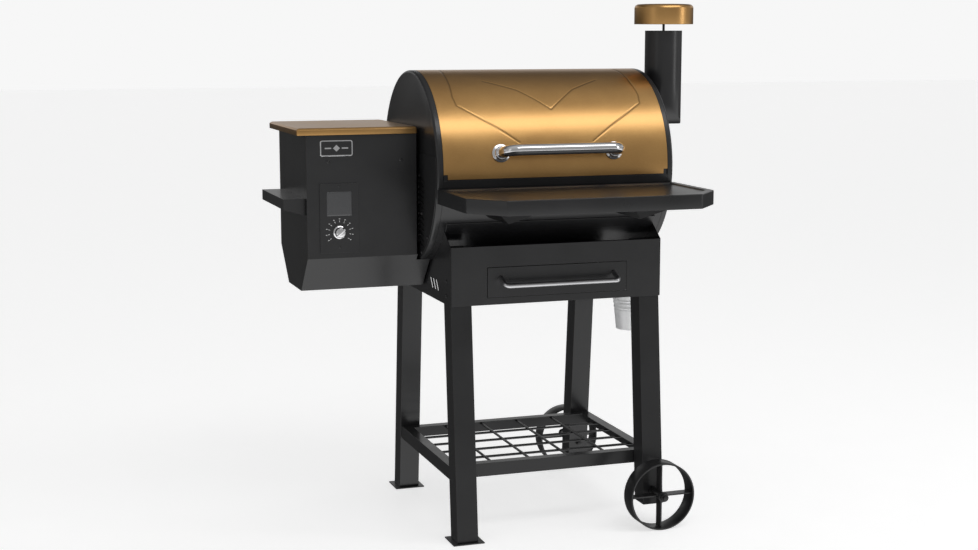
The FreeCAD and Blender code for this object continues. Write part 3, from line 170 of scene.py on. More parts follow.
# %% The finishes of this grill
finishes = {
    "black_paint": finish("powder_coat_black", (0.008, 0.008, 0.0085), (0.015, 0.015, 0.016), 0.0,
                          (0.26, 0.38), 900, 0.02, coat=0.12, coat_rough=0.12),
    "bronze_paint": finish("bronze_metallic", (0.50, 0.275, 0.095), (0.62, 0.36, 0.13), 1.0,
                           (0.27, 0.36), 1400, 0.03, stretch=(0.12, 1, 1), coat=0.2, coat_rough=0.2),
    "polished_chrome": finish("chrome_polished", (0.70, 0.70, 0.71), (0.80, 0.80, 0.81), 1.0,
                              (0.07, 0.16), 500, 0.004),
    "satin_steel": finish("steel_satin", (0.48, 0.48, 0.49), (0.64, 0.64, 0.65), 1.0,
                          (0.24, 0.40), 900, 0.015, stretch=(0.05, 1, 1)),
    "galvanised_steel": finish("zinc_galvanised", (0.42, 0.43, 0.44), (0.62, 0.63, 0.64), 1.0,
                               (0.26, 0.46), 260, 0.02),
    "enamelled_iron": finish("enamel_dark", (0.015, 0.015, 0.015), (0.045, 0.045, 0.045), 0.0,
                             (0.30, 0.50), 350, 0.06, coat=0.3),
    "bare_steel": finish("steel_mill", (0.20, 0.19, 0.18), (0.36, 0.35, 0.33), 1.0,
                         (0.35, 0.55), 300, 0.03),
    "black_plastic": finish("plastic_moulded", (0.018, 0.018, 0.018), (0.030, 0.030, 0.030), 0.0,
                            (0.40, 0.55), 1200, 0.04),
    "cast_aluminium": finish("aluminium_cast", (0.52, 0.53, 0.54), (0.66, 0.67, 0.68), 1.0,
                             (0.35, 0.5), 400, 0.05),
    "display_glass": finish("display_window", (0.045, 0.046, 0.048), (0.06, 0.061, 0.064), 0.0,
                            (0.18, 0.26), 700, 0.004, coat=0.6, coat_rough=0.05),
}
pail_zinc = finish("zinc_bright", (0.86, 0.87, 0.88), (0.96, 0.96, 0.96), 0.3, (0.22, 0.40), 260, 0.02)
panel_print = finish("panel_print", (0.62, 0.62, 0.62), (0.74, 0.74, 0.74), 0.0, (0.4, 0.5), 900, 0.004)
print("finishes:", len(finishes) + 2)

# %% [markdown]
# ## From arrays to meshes
# Every new surface is a grid of points worked out as whole arrays. A grid only needs
# its faces listed once: each cell joins four neighbours, and a wrapped grid joins the last
# row to the first. Seams and poles are then merged and the faces turned outwards, so a
# shape is closed however it was built.

# %% Mesh helpers


def cells(rows, columns, wrap_rows=False, wrap_columns=False, first=0):
    """Quads of a rows x columns grid of points: cell (i, j) joins i, i+1 and j, j+1, wrapping if asked."""
    i = np.arange(rows if wrap_rows else rows - 1)[:, None]
    j = np.arange(columns if wrap_columns else columns - 1)[None, :]
    i2, j2 = (i + 1) % rows, (j + 1) % columns
    quads = np.stack([i * columns + j, i * columns + j2, i2 * columns + j2, i2 * columns + j], -1)
    return (quads.reshape(-1, 4) + first).tolist()


def piece(name, points, faces, body, slot, stands_for=(), material=None, sharp=35, merge=True):
    """Makes a mesh object from points in millimetres, merges its seams, turns faces outwards,
    shades it smooth except over edges sharper than the given angle, and hangs it on a body."""
    mesh = bpy.data.meshes.new(name)
    mesh.from_pydata((np.asarray(points, float) * MM).tolist(), [], faces)
    shape = bmesh.new()
    shape.from_mesh(mesh)
    if merge:
        bmesh.ops.remove_doubles(shape, verts=shape.verts, dist=2e-6)
    bmesh.ops.recalc_face_normals(shape, faces=shape.faces)
    shape.to_mesh(mesh)
    shape.free()
    mesh.polygons.foreach_set("use_smooth", [True] * len(mesh.polygons))
    mesh.set_sharp_from_angle(angle=math.radians(sharp))
    mesh.materials.append(material or finishes[slot])
    made = bpy.data.objects.new(name, mesh)
    bpy.context.scene.collection.objects.link(made)
    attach(made, body)
    if stands_for:
        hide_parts(*stands_for)
    return made


def joined(*parts):
    """Several (points, faces) shapes as one: later faces are counted on from the points before them."""
    points, faces, count = [], [], 0
    for some, quads in parts:
        some = np.asarray(some, float).reshape(-1, 3)
        points.append(some)
        faces += [[index + count for index in face] for face in quads]
        count += len(some)
    return np.concatenate(points), faces


# %% [markdown]
# Round parts come off a lathe: a profile of (radius, distance along the axis) pairs is
# carried round a circle. Bent rods and tubes carry a circle along a path instead. Corners
# of profiles and paths are replaced by short arcs, because no pressed or bent metal has
# a perfectly sharp corner, and the arc is what catches the light.

# %% Lathe and tube


def rounded(corners, radius, steps=6):
    """A polyline with every inner corner replaced by an arc: on corner p between directions a and b,
    the arc starts and ends at distance radius * tan(turn / 2) and lies on a circle of that radius."""
    corners = [np.asarray(c, float) for c in corners]
    radii = radius if isinstance(radius, (list, tuple)) else [radius] * (len(corners) - 2)
    path = [corners[0][None]]
    for before, here, after, size in zip(corners, corners[1:], corners[2:], radii):
        a, b = here - before, after - here
        a, b = a / np.linalg.norm(a), b / np.linalg.norm(b)
        turn = math.acos(max(-1.0, min(1.0, float(a @ b))))
        if size <= 0 or turn < 0.02:
            path.append(here[None])
            continue
        inward = (b - a) / np.linalg.norm(b - a)
        centre = here + inward * size / math.cos(turn / 2)
        start = here - a * size * math.tan(turn / 2) - centre
        t = np.linspace(0, 1, steps + 1)[:, None] * turn
        path.append(centre + start * np.cos(t) + a * size * np.sin(t))
    path.append(corners[-1][None])
    return np.concatenate(path)


def basis(axis):
    """Two unit vectors square to an axis and to each other."""
    axis = np.asarray(axis, float) / np.linalg.norm(axis)
    other = np.array([0.0, 0.0, 1.0]) if abs(axis[2]) < 0.9 else np.array([1.0, 0.0, 0.0])
    side = np.cross(axis, other)
    side /= np.linalg.norm(side)
    return side, np.cross(axis, side), axis


def lathe(profile, centre, axis, turns=96):
    """Point (k, j) = centre + along_k * axis + radius_k * (cos t_j * side + sin t_j * up), where t_j
    goes round the circle."""
    side, up, axis = basis(axis)
    profile = np.asarray(profile, float)
    t = np.arange(turns) * TAU / turns
    ring = np.cos(t)[:, None] * side + np.sin(t)[:, None] * up
    points = np.asarray(centre, float) + profile[:, None, 1:2] * axis + profile[:, None, 0:1] * ring[None]
    return points.reshape(-1, 3), cells(len(profile), turns, wrap_columns=True)


def tube(path, radius, flat, sides=24, closed_ends=True):
    """Point (k, j) = path_k + radius * (cos t_j * side_k + sin t_j * flat): side_k is square to the
    path's direction and to flat, the normal of the plane the path lies in."""
    path, flat = np.asarray(path, float), np.asarray(flat, float)
    step = np.diff(path, axis=0)
    step /= np.linalg.norm(step, axis=1)[:, None]
    way = np.concatenate([step[:1], step[:-1] + step[1:], step[-1:]])
    way /= np.linalg.norm(way, axis=1)[:, None]
    side = np.cross(way, flat)
    side /= np.linalg.norm(side, axis=1)[:, None]
    t = np.arange(sides) * TAU / sides
    radius = np.broadcast_to(np.asarray(radius, float), len(path))[:, None, None]
    points = path[:, None] + radius * (np.cos(t)[:, None] * side[:, None] + np.sin(t)[:, None] * flat)
    faces = cells(len(path), sides, wrap_columns=True)
    if closed_ends:
        last = (len(path) - 1) * sides
        faces += [list(range(sides)), list(range(last, last + sides))]
    return points.reshape(-1, 3), faces


def corner_rounded(outline, radius, steps=5):
    """A closed outline, counter-clockwise, with each corner replaced by an arc of that radius."""
    outline = [np.asarray(p, float) for p in outline]
    ring = []
    for index, here in enumerate(outline):
        before, after = outline[index - 1], outline[(index + 1) % len(outline)]
        size = radius[index] if isinstance(radius, (list, tuple)) else radius
        ring.append(rounded([before, here, after], max(size, 0.02), steps)[1:-1])
    return np.concatenate(ring)


def slab(outline, rings, corner=0.0):
    """A plate with a shaped edge: ring k is the outline moved inwards by inset_k at height_k. A corner
    moves along the sum of its two edge normals, divided by one plus their product, and its arc keeps
    one centre, so its radius is corner less inset. Flat faces close the first and last rings."""
    outline = np.asarray(outline, float)
    edge = np.roll(outline, -1, axis=0) - outline
    normal = np.stack([edge[:, 1], -edge[:, 0]], 1) / np.linalg.norm(edge, axis=1)[:, None]
    before = np.roll(normal, 1, axis=0)
    move = (normal + before) / (1 + (normal * before).sum(1))[:, None]
    sizes = corner if isinstance(corner, (list, tuple)) else [corner] * len(outline)
    loops = []
    for inset, height in rings:
        flat = outline - inset * move
        if max(sizes) > 0:
            flat = corner_rounded(flat, [size - inset for size in sizes])
        loops.append(np.column_stack([flat, np.full(len(flat), height)]))
    n = len(loops[0])
    faces = cells(len(loops), n, wrap_columns=True)
    faces += [list(range(n)), list(range((len(loops) - 1) * n, len(loops) * n))]
    return np.concatenate(loops), faces


print("helpers ready")

# %% [markdown]
# ## Folded and welded parts
# Legs, panels, brackets and the inner works already have the right shape in the CAD
# model, down to the slots. What they lack is the small radius of a folded or cut edge.
# Each is copied, its loose triangles are merged back into flat faces, and a narrow bevel
# rounds its edges, so light runs along them as it does on painted sheet.

# %% Dress the CAD parts


def dressed(node, width, turn=30):
    """A merged copy of a CAD node with its flat triangles joined and its edges rounded by width."""
    mesh = frame["nodes"][node].data.copy()
    mesh.name = node + "_dressed"
    shape = bmesh.new()
    shape.from_mesh(mesh)
    bmesh.ops.remove_doubles(shape, verts=shape.verts, dist=5e-6)
    bmesh.ops.dissolve_limit(shape, angle_limit=math.radians(0.4), verts=shape.verts, edges=shape.edges)
    shape.to_mesh(mesh)
    shape.free()
    for name in [layer.name for layer in mesh.attributes if layer.name == "custom_normal"]:
        mesh.attributes.remove(mesh.attributes[name])
    mesh.materials.clear()
    mesh.materials.append(finishes[slot_of[node]])
    mesh.polygons.foreach_set("use_smooth", [True] * len(mesh.polygons))
    mesh.polygons.foreach_set("material_index", [0] * len(mesh.polygons))
    mesh.set_sharp_from_angle(angle=math.radians(turn))
    made = bpy.data.objects.new(node + "_dressed", mesh)
    bpy.context.scene.collection.objects.link(made)
    if width:
        edge = made.modifiers.new("edge", "BEVEL")
        edge.width = width * MM
        edge.segments = 2
        edge.limit_method = "ANGLE"
        edge.angle_limit = math.radians(turn)
        edge.harden_normals = True
        edge.use_clamp_overlap = True
    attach(made, home[node])
    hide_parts(node)
    return made


soft_edges = {
    2.2: ["leg_front_left", "leg_rear_left", "leg_front_right", "leg_rear_right"],
    1.2: ["hopper_body", "stand_crossbars"],
    0.6: ["foot_plates", "apron_front", "side_panel_left", "side_panel_right", "shelf_frame", "shelf_brackets",
          "drawer_front", "drawer_box", "drawer_runners", "side_handle", "controller_panel", "heat_shield",
          "fixed_hinge_leaves", "lid_hinge_leaves", "power_inlet", "axle_nuts", "hopper_funnel", "heat_baffle",
          "drip_tray", "grate_ledges", "auger_motor", "barrel_shell"],
    0.0: ["hinge_pins", "auger_tube", "auger_screw", "fan_housing", "fan_impeller", "firepot",
          "igniter_and_probe", "chimney_stem", "bucket_hook", "grease_spout", "cooking_grate", "warming_rack",
          "shelf_grid", "barrel_end_left", "barrel_end_right"],
}
for width, names in soft_edges.items():
    for name in names:
        dressed(name, width)
print("dressed parts:", sum(len(names) for names in soft_edges.values()))

# %% [markdown]
# ## The lid
# The lid is one sheet rolled to the barrel's radius, with a pattern pressed into it:
# a long outline on each side that turns in towards the handle, and a V in the middle. The
# pattern is real relief, so it is made in the surface itself: the sheet's radius drops by
# about a millimetre near each line. The two lower corners are notched to clear the shelf.

# %% Lid sheet with its pressed lines
lid_high = span("lid_shell")[1]
FRONT, REAR, THICK, NOTCH = -3.3, 128.0, 1.5, -0.5
WIDTH, DEPTH = 1.5, 0.9
side_line = [(218, 84), (220, 79.4), (224, 59.3), (228, 48.2), (224, 41.5), (89, 16.9)]
middle_line = [(140, 63.3), (69, 53.6), (0, 37.9)]


def pressed(x, angle):
    """Depth of the pressed lines: the largest over the lines of exp(-(distance / width)^2), where
    distance is measured on the sheet laid flat, x across and R * angle up."""
    here = np.stack([np.abs(x), R * np.radians(angle)], -1)
    depth = np.zeros(here.shape[:-1])
    for line in (side_line, middle_line):
        ends = np.array(line, float) * [1, math.radians(R)]
        for a, b in zip(ends, ends[1:]):
            along = np.clip(((here - a) @ (b - a)) / ((b - a) @ (b - a)), 0, 1)
            away = np.linalg.norm(here - a - along[..., None] * (b - a), axis=-1)
            depth = np.maximum(depth, np.exp(-((away / WIDTH) ** 2)))
    return depth


half = lid_high[0]
x = np.concatenate([np.linspace(-half, -262.2, 6), np.linspace(-262, 262, 274), np.linspace(262.2, half, 6)])
start = np.where(np.abs(x) > 262.1, NOTCH, FRONT)


def lid_face(radius, rows, grooved):
    """Point (k, j): x_j across, and an angle that goes from the lower edge to the rear edge, at the
    radius less the pressed depth."""
    t = np.linspace(0, 1, rows)[:, None]
    angle = start[None] + t * (REAR - start[None])
    across = np.broadcast_to(x[None], angle.shape)
    reach = radius - (DEPTH * pressed(across, angle) if grooved else 0)
    a = np.radians(angle)
    return np.stack([across, -reach * np.cos(a), AXIS + reach * np.sin(a)], -1)


ROWS, INNER = 256, 48
outer_face, inner_face = lid_face(R, ROWS, True), lid_face(R - THICK, INNER, False)
n = len(x)
points = np.concatenate([outer_face.reshape(-1, 3), inner_face.reshape(-1, 3)])
base = ROWS * n
faces = cells(ROWS, n) + cells(INNER, n, first=base)
j = np.arange(n - 1)
lower = np.stack([j, j + 1, base + j + 1, base + j], -1)
top, top_in = (ROWS - 1) * n, base + (INNER - 1) * n
upper = np.stack([top + j, top + j + 1, top_in + j + 1, top_in + j], -1)
faces += lower.tolist() + upper.tolist()
for column in (0, n - 1):
    out_edge = (np.arange(ROWS) * n + column).tolist()
    in_edge = (base + np.arange(INNER)[::-1] * n + column).tolist()
    faces.append(out_edge + in_edge)
lid = piece("lid_sheet", points, faces, "lid", "bronze_paint", ["lid_shell"], sharp=50, merge=False)
# The groove depth is kept per point for the bronze finish, which darkens the pressed lines with painted shade.
groove_shade = np.zeros(len(points))
groove_shade[:base] = (R - np.hypot(points[:base, 1], points[:base, 2] - AXIS)) / DEPTH
lid.data.attributes.new("groove_shade", "FLOAT", "POINT").data.foreach_set("value", groove_shade)
print("lid sheet faces", len(lid.data.polygons))

# %% [markdown]
# ## Lid handle
# The handle is a thick chromed tube bent twice, standing on two flanged collars. The tube
# is a circle carried along a path with two wide bends; each collar is turned on a lathe
# with a rounded flange. The posts stand square to the curved sheet, 11 degrees up.

# %% Handle tube and collars
tilt = math.radians(11)
out = np.array([0, -math.cos(tilt), math.sin(tilt)])
centre = np.array([0, 0, AXIS])
foot, bar = centre + out * (R + 0.8), centre + out * (R + 58)
corners = [foot + [-137, 0, 0], bar + [-137, 0, 0], bar + [137, 0, 0], foot + [137, 0, 0]]
path = rounded(corners, 30, 14)
plane = np.cross([1, 0, 0], out)
piece("lid_handle_tube", *tube(path, 12.7, plane, 40), "lid", "polished_chrome", ["lid_handle"])
collar = rounded([(11.4, 0.4), (20.8, 0.4), (20.8, 3.4), (15.5, 5.2), (14.2, 9.5), (11.4, 9.5)], 1.0, 4)
bolt = rounded([(0, -5.4), (6, -5.4), (6, -1.9), (0, -1.9)], 0.8, 3)
parts = []
for x_post in (-137, 137):
    at = centre + out * R + [x_post, 0, 0]
    parts.append(lathe(np.concatenate([collar, collar[:1]]), at, out, 64))
    parts.append(lathe(bolt, at, out, 24))
piece("lid_handle_collars", *joined(*parts), "lid", "polished_chrome", ["handle_fixings"])
print("handle bar stands", round(58 - 12), "mm clear of the lid")

# %% [markdown]
# ## Chimney
# Smoke leaves through a level stub that turns up through a mitred elbow. The pipe is
# rolled sheet, so its mouth is a thin rim. The two legs meet on a plane at 45 degrees:
# each ring of the level leg is level with a ring of the upright one, and the shared ring
# lies in the mitre plane. The bronze cap is a shallow drawn cup with a rounded crown.

# %% Pipe, elbow and cap
PIPE_X, ELBOW, TOP, PIPE = 361.0, 973.0, 1155.0, 45.0
t = np.arange(72) * TAU / 72


def pipe_skin(radius):
    """Rings along the pipe: level leg rings at fixed x, then the mitre ring where x = centre + reach and
    z = elbow - reach, with reach = radius * cos t, then upright rings at fixed z."""
    c, s = radius * np.cos(t), radius * np.sin(t)
    level = [np.stack([np.full(72, v), s, ELBOW - c], -1) for v in (287.0, 289.0, 300.0)]
    mitre = [np.stack([PIPE_X + c, s, ELBOW - c], -1)]
    upright = [np.stack([PIPE_X + c, s, np.full(72, v)], -1) for v in (1030.0, 1090.0, TOP)]
    return np.stack(level + mitre + upright)


outside, inside = pipe_skin(PIPE), pipe_skin(PIPE - 1.5)[::-1]
shell = np.concatenate([outside, inside])
pipe = (shell.reshape(-1, 3), cells(len(shell), 72, wrap_rows=True, wrap_columns=True))
flange = rounded([(44, 2.4), (58, 2.4), (58, 0.05), (44, 0.05)], 0.6, 3)
flange = lathe(np.concatenate([flange, flange[:1]]), (287, 0, ELBOW), (1, 0, 0), 72)
piece("flue_pipe", *joined(pipe, flange), "frame", "black_paint", ["chimney_pipe"], sharp=40)
cap_low, cap_high = span("chimney_cap")
rise = cap_high[2] - cap_low[2]
cup = [(70.0, 1.0), (71.5, 0.0), (71.5, rise - 9), (69.5, rise - 4), (64.0, rise - 0.8), (52, rise - 0.2),
       (0, rise)]
under = [(0, 31.5), (3.06, 31.5), (3.06, 14), (9, 14), (9, rise - 2.5), (62, rise - 2.5), (68, rise - 6),
         (70.0, 1.0)]
crown = rounded(cup, [0.4, 2.0, 6.0, 6.0, 8.0], 6)
crown = np.concatenate([crown, np.array(under, float)])
piece("rain_cap", *lathe(crown, (PIPE_X, 0, cap_low[2]), (0, 0, 1), 120), "rain_cap", "bronze_paint",
      ["chimney_cap"], sharp=40)
print("cap height", round(rise, 1))

# %% [markdown]
# ## Front shelf
# The shelf is a folded tray turned upside down: a raised rim runs round a slightly sunk
# top, and the two front corners are cut off. A plate whose edge is a chain of insets and
# heights gives the skirt, the rim and the recess in one closed surface.

# %% Shelf tray
shelf_low, shelf_high = span("front_shelf")
w, y0, y1 = shelf_high[0], shelf_low[1], shelf_high[1]
outline = [(-w, y1), (-w, y0 + 76), (-w + 65, y0), (w - 65, y0), (w, y0 + 76), (w, y1)]
low, high = shelf_low[2], shelf_high[2]
section = rounded([(30, high - 4.5), (1.5, high - 4.5), (1.5, low), (0, low), (0, high), (17, high),
                   (21, high - 3), (40, high - 3)], [0.6, 0.3, 0.3, 2.2, 2.0, 2.0], 4)
piece("shelf_tray", *slab(outline, section, [1.5, 7, 7, 7, 7, 1.5]), "frame", "black_paint", ["front_shelf"],
      sharp=50)
print("shelf width", round(2 * w), "depth", round(y1 - y0))

# %% [markdown]
# ## Hopper lid
# The hopper's lid is a shallow pressed cover in the same bronze as the barrel lid, with
# a bevel round its top edge and a flat field that carries the gloss of the sky. Its
# hinge knuckles are short rolled tubes at the back.

# %% Hopper lid
lid0, lid1 = span("hopper_lid")
low, high = lid0[2] + 1.6, lid1[2]
y_back = 209.0
outline = [(lid0[0], lid0[1]), (lid1[0], lid0[1]), (lid1[0], y_back), (lid0[0], y_back)]
section = rounded([(30, high - 3.5), (2, high - 3.5), (2, low), (0, low), (0, high - 4), (4.5, high - 0.6),
                   (8, high), (30, high)], [0.5, 0.4, 0.4, 1.2, 2.0, 4.0], 4)
cover = slab(outline, section, 4)
parts = [cover]
for a, b in ((-551, -513), (-337, -299)):
    ring = rounded([(3.06, a), (5, a), (5, b), (3.06, b)], 0.6, 3)
    parts.append(lathe(np.concatenate([ring, ring[:1]]), (0, 215, 927.5), (1, 0, 0), 32))
    tab = [(a + 0.5, 207.5), (b - 0.5, 207.5), (b - 0.5, 211.2), (a + 0.5, 211.2)]
    parts.append(slab(tab, [(0, 925), (0, 930)]))
piece("hopper_cover_sheet", *joined(*parts), "hopper_cover", "bronze_paint", ["hopper_lid"], sharp=45)
print("hopper lid height", round(high - low, 1))

# %% [markdown]
# ## Wheels and axle stubs
# Each wheel is a flat steel band rolled into a hoop, four flat bar spokes and a short
# hub tube. The hoop and the hub are turned, and the spokes are thin plates that run from
# one to the other. Each wheel runs on its own short stub with rounded ends.

# %% Two wheels on two stubs
axle_low, axle_high = span("axle_stubs")
ax, az = (axle_low[0] + axle_high[0]) / 2, (axle_low[2] + axle_high[2]) / 2
for body, node in (("front_wheel", "wheel_front"), ("rear_wheel", "wheel_rear")):
    w0, w1 = span(node)
    middle, wide = (w0[1] + w1[1]) / 2, (w1[1] - w0[1]) / 2
    band = rounded([(76, 0), (76, -wide), (80, -wide), (80, wide), (76, wide), (76, 0)], 0.9, 3)
    hub = rounded([(6.08, 0), (6.08, -wide), (10, -wide), (10, wide), (6.08, wide), (6.08, 0)], 0.8, 3)
    parts = [lathe(band, (ax, middle, az), (0, 1, 0), 128), lathe(hub, (ax, middle, az), (0, 1, 0), 40)]
    for k in range(4):
        turn = k * TAU / 4
        reach = np.array([math.cos(turn), 0, math.sin(turn)])
        across = np.array([-math.sin(turn), 0, math.cos(turn)])
        flat = [(9.5, -12.5), (76.4, -12.5), (76.4, 12.5), (9.5, 12.5)]
        plate, sides = slab(flat, [(0.6, -1.75), (0, -1.2), (0, 1.2), (0.6, 1.75)])
        plate = plate[:, :1] * reach + plate[:, 1:2] * [0, 1, 0] + plate[:, 2:] * across
        parts.append((plate + [ax, middle, az], sides))
    piece(node + "_hoop", *joined(*parts), body, "black_paint", [node], sharp=40)
stubs = []
for a, b in ((axle_low[1], -198.0), (198.0, axle_high[1])):
    stubs.append(lathe(rounded([(0, a), (6, a), (6, b), (0, b)], 1.2, 3), (ax, 0, az), (0, 1, 0), 32))
piece("axle_stub_rods", *joined(*stubs), "frame", "black_paint", ["axle_stubs"])
print("wheel centre", round(ax), round(az))

# %% [markdown]
# ## Grease bucket
# A small galvanised pail: a slightly flared wall with three pressed ribs, a rolled rim
# and a recessed bottom. The ribs are bulges in the profile that is turned on the lathe.
# Its wire bail is bent into an arch and hooks through the wall at both sides.

# %% Bucket and bail
pail0, pail1 = span("grease_bucket")
px, bottom, rim = 292.0, pail0[2], pail1[2]
h = np.linspace(1.5, rim - bottom - 5, 60)
wall = 44 + (54 - 44) * h / (rim - bottom - 3)
for rib in (73, 65, 55):
    wall = wall + 1.1 * np.exp(-(((h - rib) / 1.5) ** 2)) - 0.7 * np.exp(-(((h - rib + 3.4) / 1.4) ** 2))
outer_wall = np.stack([wall, h], -1)
inner_wall = np.stack([wall - 1.0, h], -1)[::-1]
roll = 54.6 + 1.5 * np.stack([np.cos(np.linspace(-1.9, 3.6, 14)), np.sin(np.linspace(-1.9, 3.6, 14))], -1)
roll[:, 1] += rim - bottom - 1.6 - 54.6
profile = np.concatenate([[(0, 3.2), (42.5, 3.2), (43, 0.4), (44, 0)], outer_wall, roll, inner_wall[:-2],
                          [(42.8, 4.2), (0, 4.2)]])
piece("pail", *lathe(profile, (px, 0, bottom), (0, 0, 1), 96), "bucket", "galvanised_steel", ["grease_bucket"],
      material=pail_zinc)
eye_z, reach = span("bucket_bail")[0][2] + 2.4, 59.0
arch = np.linspace(0, math.pi, 41)
wire = np.stack([np.full(41, px), reach * np.cos(arch), eye_z + 16 + reach * np.sin(arch)], -1)
legs = np.linspace(0, 1, 6)[:-1, None]
down = np.array([px, reach, eye_z])
up = np.array([px, -reach, eye_z])
wire = np.concatenate([down + legs * [0, 0, 16], wire, (up + legs * [0, 0, 16])[::-1]])
hooks = [lathe(rounded([(0, a), (2.3, a), (2.3, b), (0, b)], 0.6, 3), (px, 0, eye_z), (0, 1, 0), 20)
         for a, b in ((50.2, 59.8), (-59.8, -50.2))]
piece("pail_bail", *joined(tube(wire, 1.8, (1, 0, 0), 16), *hooks), "bail", "satin_steel", ["bucket_bail"])
print("bucket height", round(rim - bottom))

# %% [markdown]
# ## Drawer pull
# A thin satin bar on two short legs that slope down from the drawer's face. It is one
# bent rod, so one path with two tight bends carries a circle from end to end.

# %% Pull bar
pull0, pull1 = span("drawer_pull")
face_y, bar_y, bar_z = pull1[1], pull0[1] + 5.6, 588.0
corners = [(-138, face_y, 602), (-138, bar_y, bar_z), (138, bar_y, bar_z), (138, face_y, 602)]
slope = np.array([0, bar_y - face_y, bar_z - 602.0])
normal = np.cross([1, 0, 0], slope / np.linalg.norm(slope))
piece("pull_bar", *tube(rounded(corners, 9, 8), 5.6, normal, 24), "drawer", "satin_steel", ["drawer_pull"])
print("pull width", round(pull1[0] - pull0[0]))

# %% [markdown]
# ## Controller
# A black panel carries a display window, a bright dial knob and the printed marks round
# it. The knob is turned from bar, with a skirt and a crowned cap, and has a raised grip
# bar. The marks are ink, so they are thin raised strips of pale print.

# %% Display, dial and marks
knob0, knob1 = span("control_knob")
kx, kz = (knob0[0] + knob1[0]) / 2, (knob0[2] + knob1[2]) / 2
face = span("controller_panel")[0][1]
skirt = rounded([(0, -1.6), (3, -1.6), (3, 0.5), (15, 0.5), (15, 2.2), (12.4, 3.6), (11.2, 12.5), (9.8, 14.6),
                 (0, 15.4)], [0.1, 0.1, 0.3, 0.8, 0.8, 1.5, 1.4], 4)
grip = [(-12.6, -2.6), (12.6, -2.6), (12.6, 2.6), (-12.6, 2.6)]
bar, sides = slab(grip, [(0, 3.0), (0, 15.6), (0.5, 16.5), (1.3, 16.9)], 2.2)
lean = math.radians(40)
gx = bar[:, 0] * math.cos(lean) - bar[:, 1] * math.sin(lean)
gz = bar[:, 0] * math.sin(lean) + bar[:, 1] * math.cos(lean)
bar = np.stack([kx + gx, face - bar[:, 2], kz + gz], -1)
skirt = lathe(skirt, (kx, face, kz), (0, -1, 0), 64)
piece("dial_knob", *joined(skirt, (bar, sides)), "knob", "polished_chrome", ["control_knob"], sharp=40)
marks = []
MARKS, FIRST, STEP, DASH_RADIUS = 11, -125, 25, 30.7
for k in range(MARKS):
    turn = math.radians(FIRST + STEP * k)
    mark = [(-0.5, 23), (0.5, 23), (0.5, 27), (-0.5, 27)]
    strip, sides = slab(mark, [(0, 0), (0, 0.18)])
    mx = strip[:, 0] * math.cos(turn) + strip[:, 1] * math.sin(turn)
    mz = -strip[:, 0] * math.sin(turn) + strip[:, 1] * math.cos(turn)
    marks.append((np.stack([kx + mx, face - strip[:, 2], kz + mz], -1), sides))
    dash = [(-1.6, 30), (1.6, 30), (1.6, 31.4), (-1.6, 31.4)]
    strip, sides = slab(dash, [(0, 0), (0, 0.18)])
    ox, oz = DASH_RADIUS * math.sin(turn), DASH_RADIUS * (math.cos(turn) - 1)
    marks.append((np.stack([kx + ox + strip[:, 0], face - strip[:, 2], kz + oz + strip[:, 1]], -1), sides))
piece("dial_marks", *joined(*marks), "frame", "satin_steel", material=panel_print)
glass0, glass1 = span("display_lens")
window = [(glass0[0], glass0[2]), (glass1[0], glass0[2]), (glass1[0], glass1[2]), (glass0[0], glass1[2])]
pane, sides = slab(window, [(0, 0), (0, 0.5), (0.5, 0.75), (3, 0.8)], 1.5)
pane = np.stack([pane[:, 0], glass1[1] - pane[:, 2], pane[:, 1]], -1)
piece("display_pane", pane, sides, "frame", "display_glass", ["display_lens"])
print("dial marks", len(marks))

# %% [markdown]
# ## Badge
# A small plate near the hopper's top is dark with a bright raised border. It carries a
# plain ornament here: a diamond between two short bars. Border and ornament are thin
# closed strips standing on the plate.

# %% Badge plate with a border
badge0, badge1 = span("badge_plate")
bx, bz = (badge0[0] + badge1[0]) / 2, (badge0[2] + badge1[2]) / 2
bw, bh = (badge1[0] - badge0[0]) / 2, (badge1[2] - badge0[2]) / 2
outline = [(-bw, -bh), (bw, -bh), (bw, bh), (-bw, bh)]
border, edge_faces = slab(outline, [(3.0, 0.0), (0, 0.0), (0, 1.0), (0.4, 1.35), (2.4, 1.35), (2.8, 0.9),
                                    (3.0, 0.0)], 5)
edge_faces = edge_faces[:-2]
field = slab(outline, [(0.8, 0.05), (0.8, 0.7)], 5)
bars = [slab([(x, -1.5), (x + 15, -1.5), (x + 15, 1.5), (x, 1.5)], [(0, 0.5), (0, 1.0)], 0.8)
        for x in (-27, 12)]
diamond = [(0, -7.5), (8, 0), (0, 7.5), (-8, 0)]


def on_hopper(shape):
    """Turns a plate drawn flat into one that lies against the hopper's front face."""
    flat, sides = shape
    flat = np.asarray(flat)
    return np.stack([bx + flat[:, 0], badge1[1] - flat[:, 2], bz + flat[:, 1]], -1), sides


piece("badge_field", *on_hopper(field), "frame", "black_paint", ["badge_plate"])
piece("badge_border", *joined(on_hopper((border, edge_faces)), *[on_hopper(b) for b in bars],
      on_hopper(slab(diamond, [(0, 0.5), (0, 1.0)]))), "frame", "polished_chrome")
print("badge", round(2 * bw), "by", round(2 * bh))

# %% [markdown]
# ## Screws
# Black pan-head screws hold the panels. Each head is a low dome from the lathe, with a
# small hollow for the driver. They stand where the CAD model puts its plain heads, so
# the places are read from that node: its loose parts are sorted into single heads.

# %% Screw heads


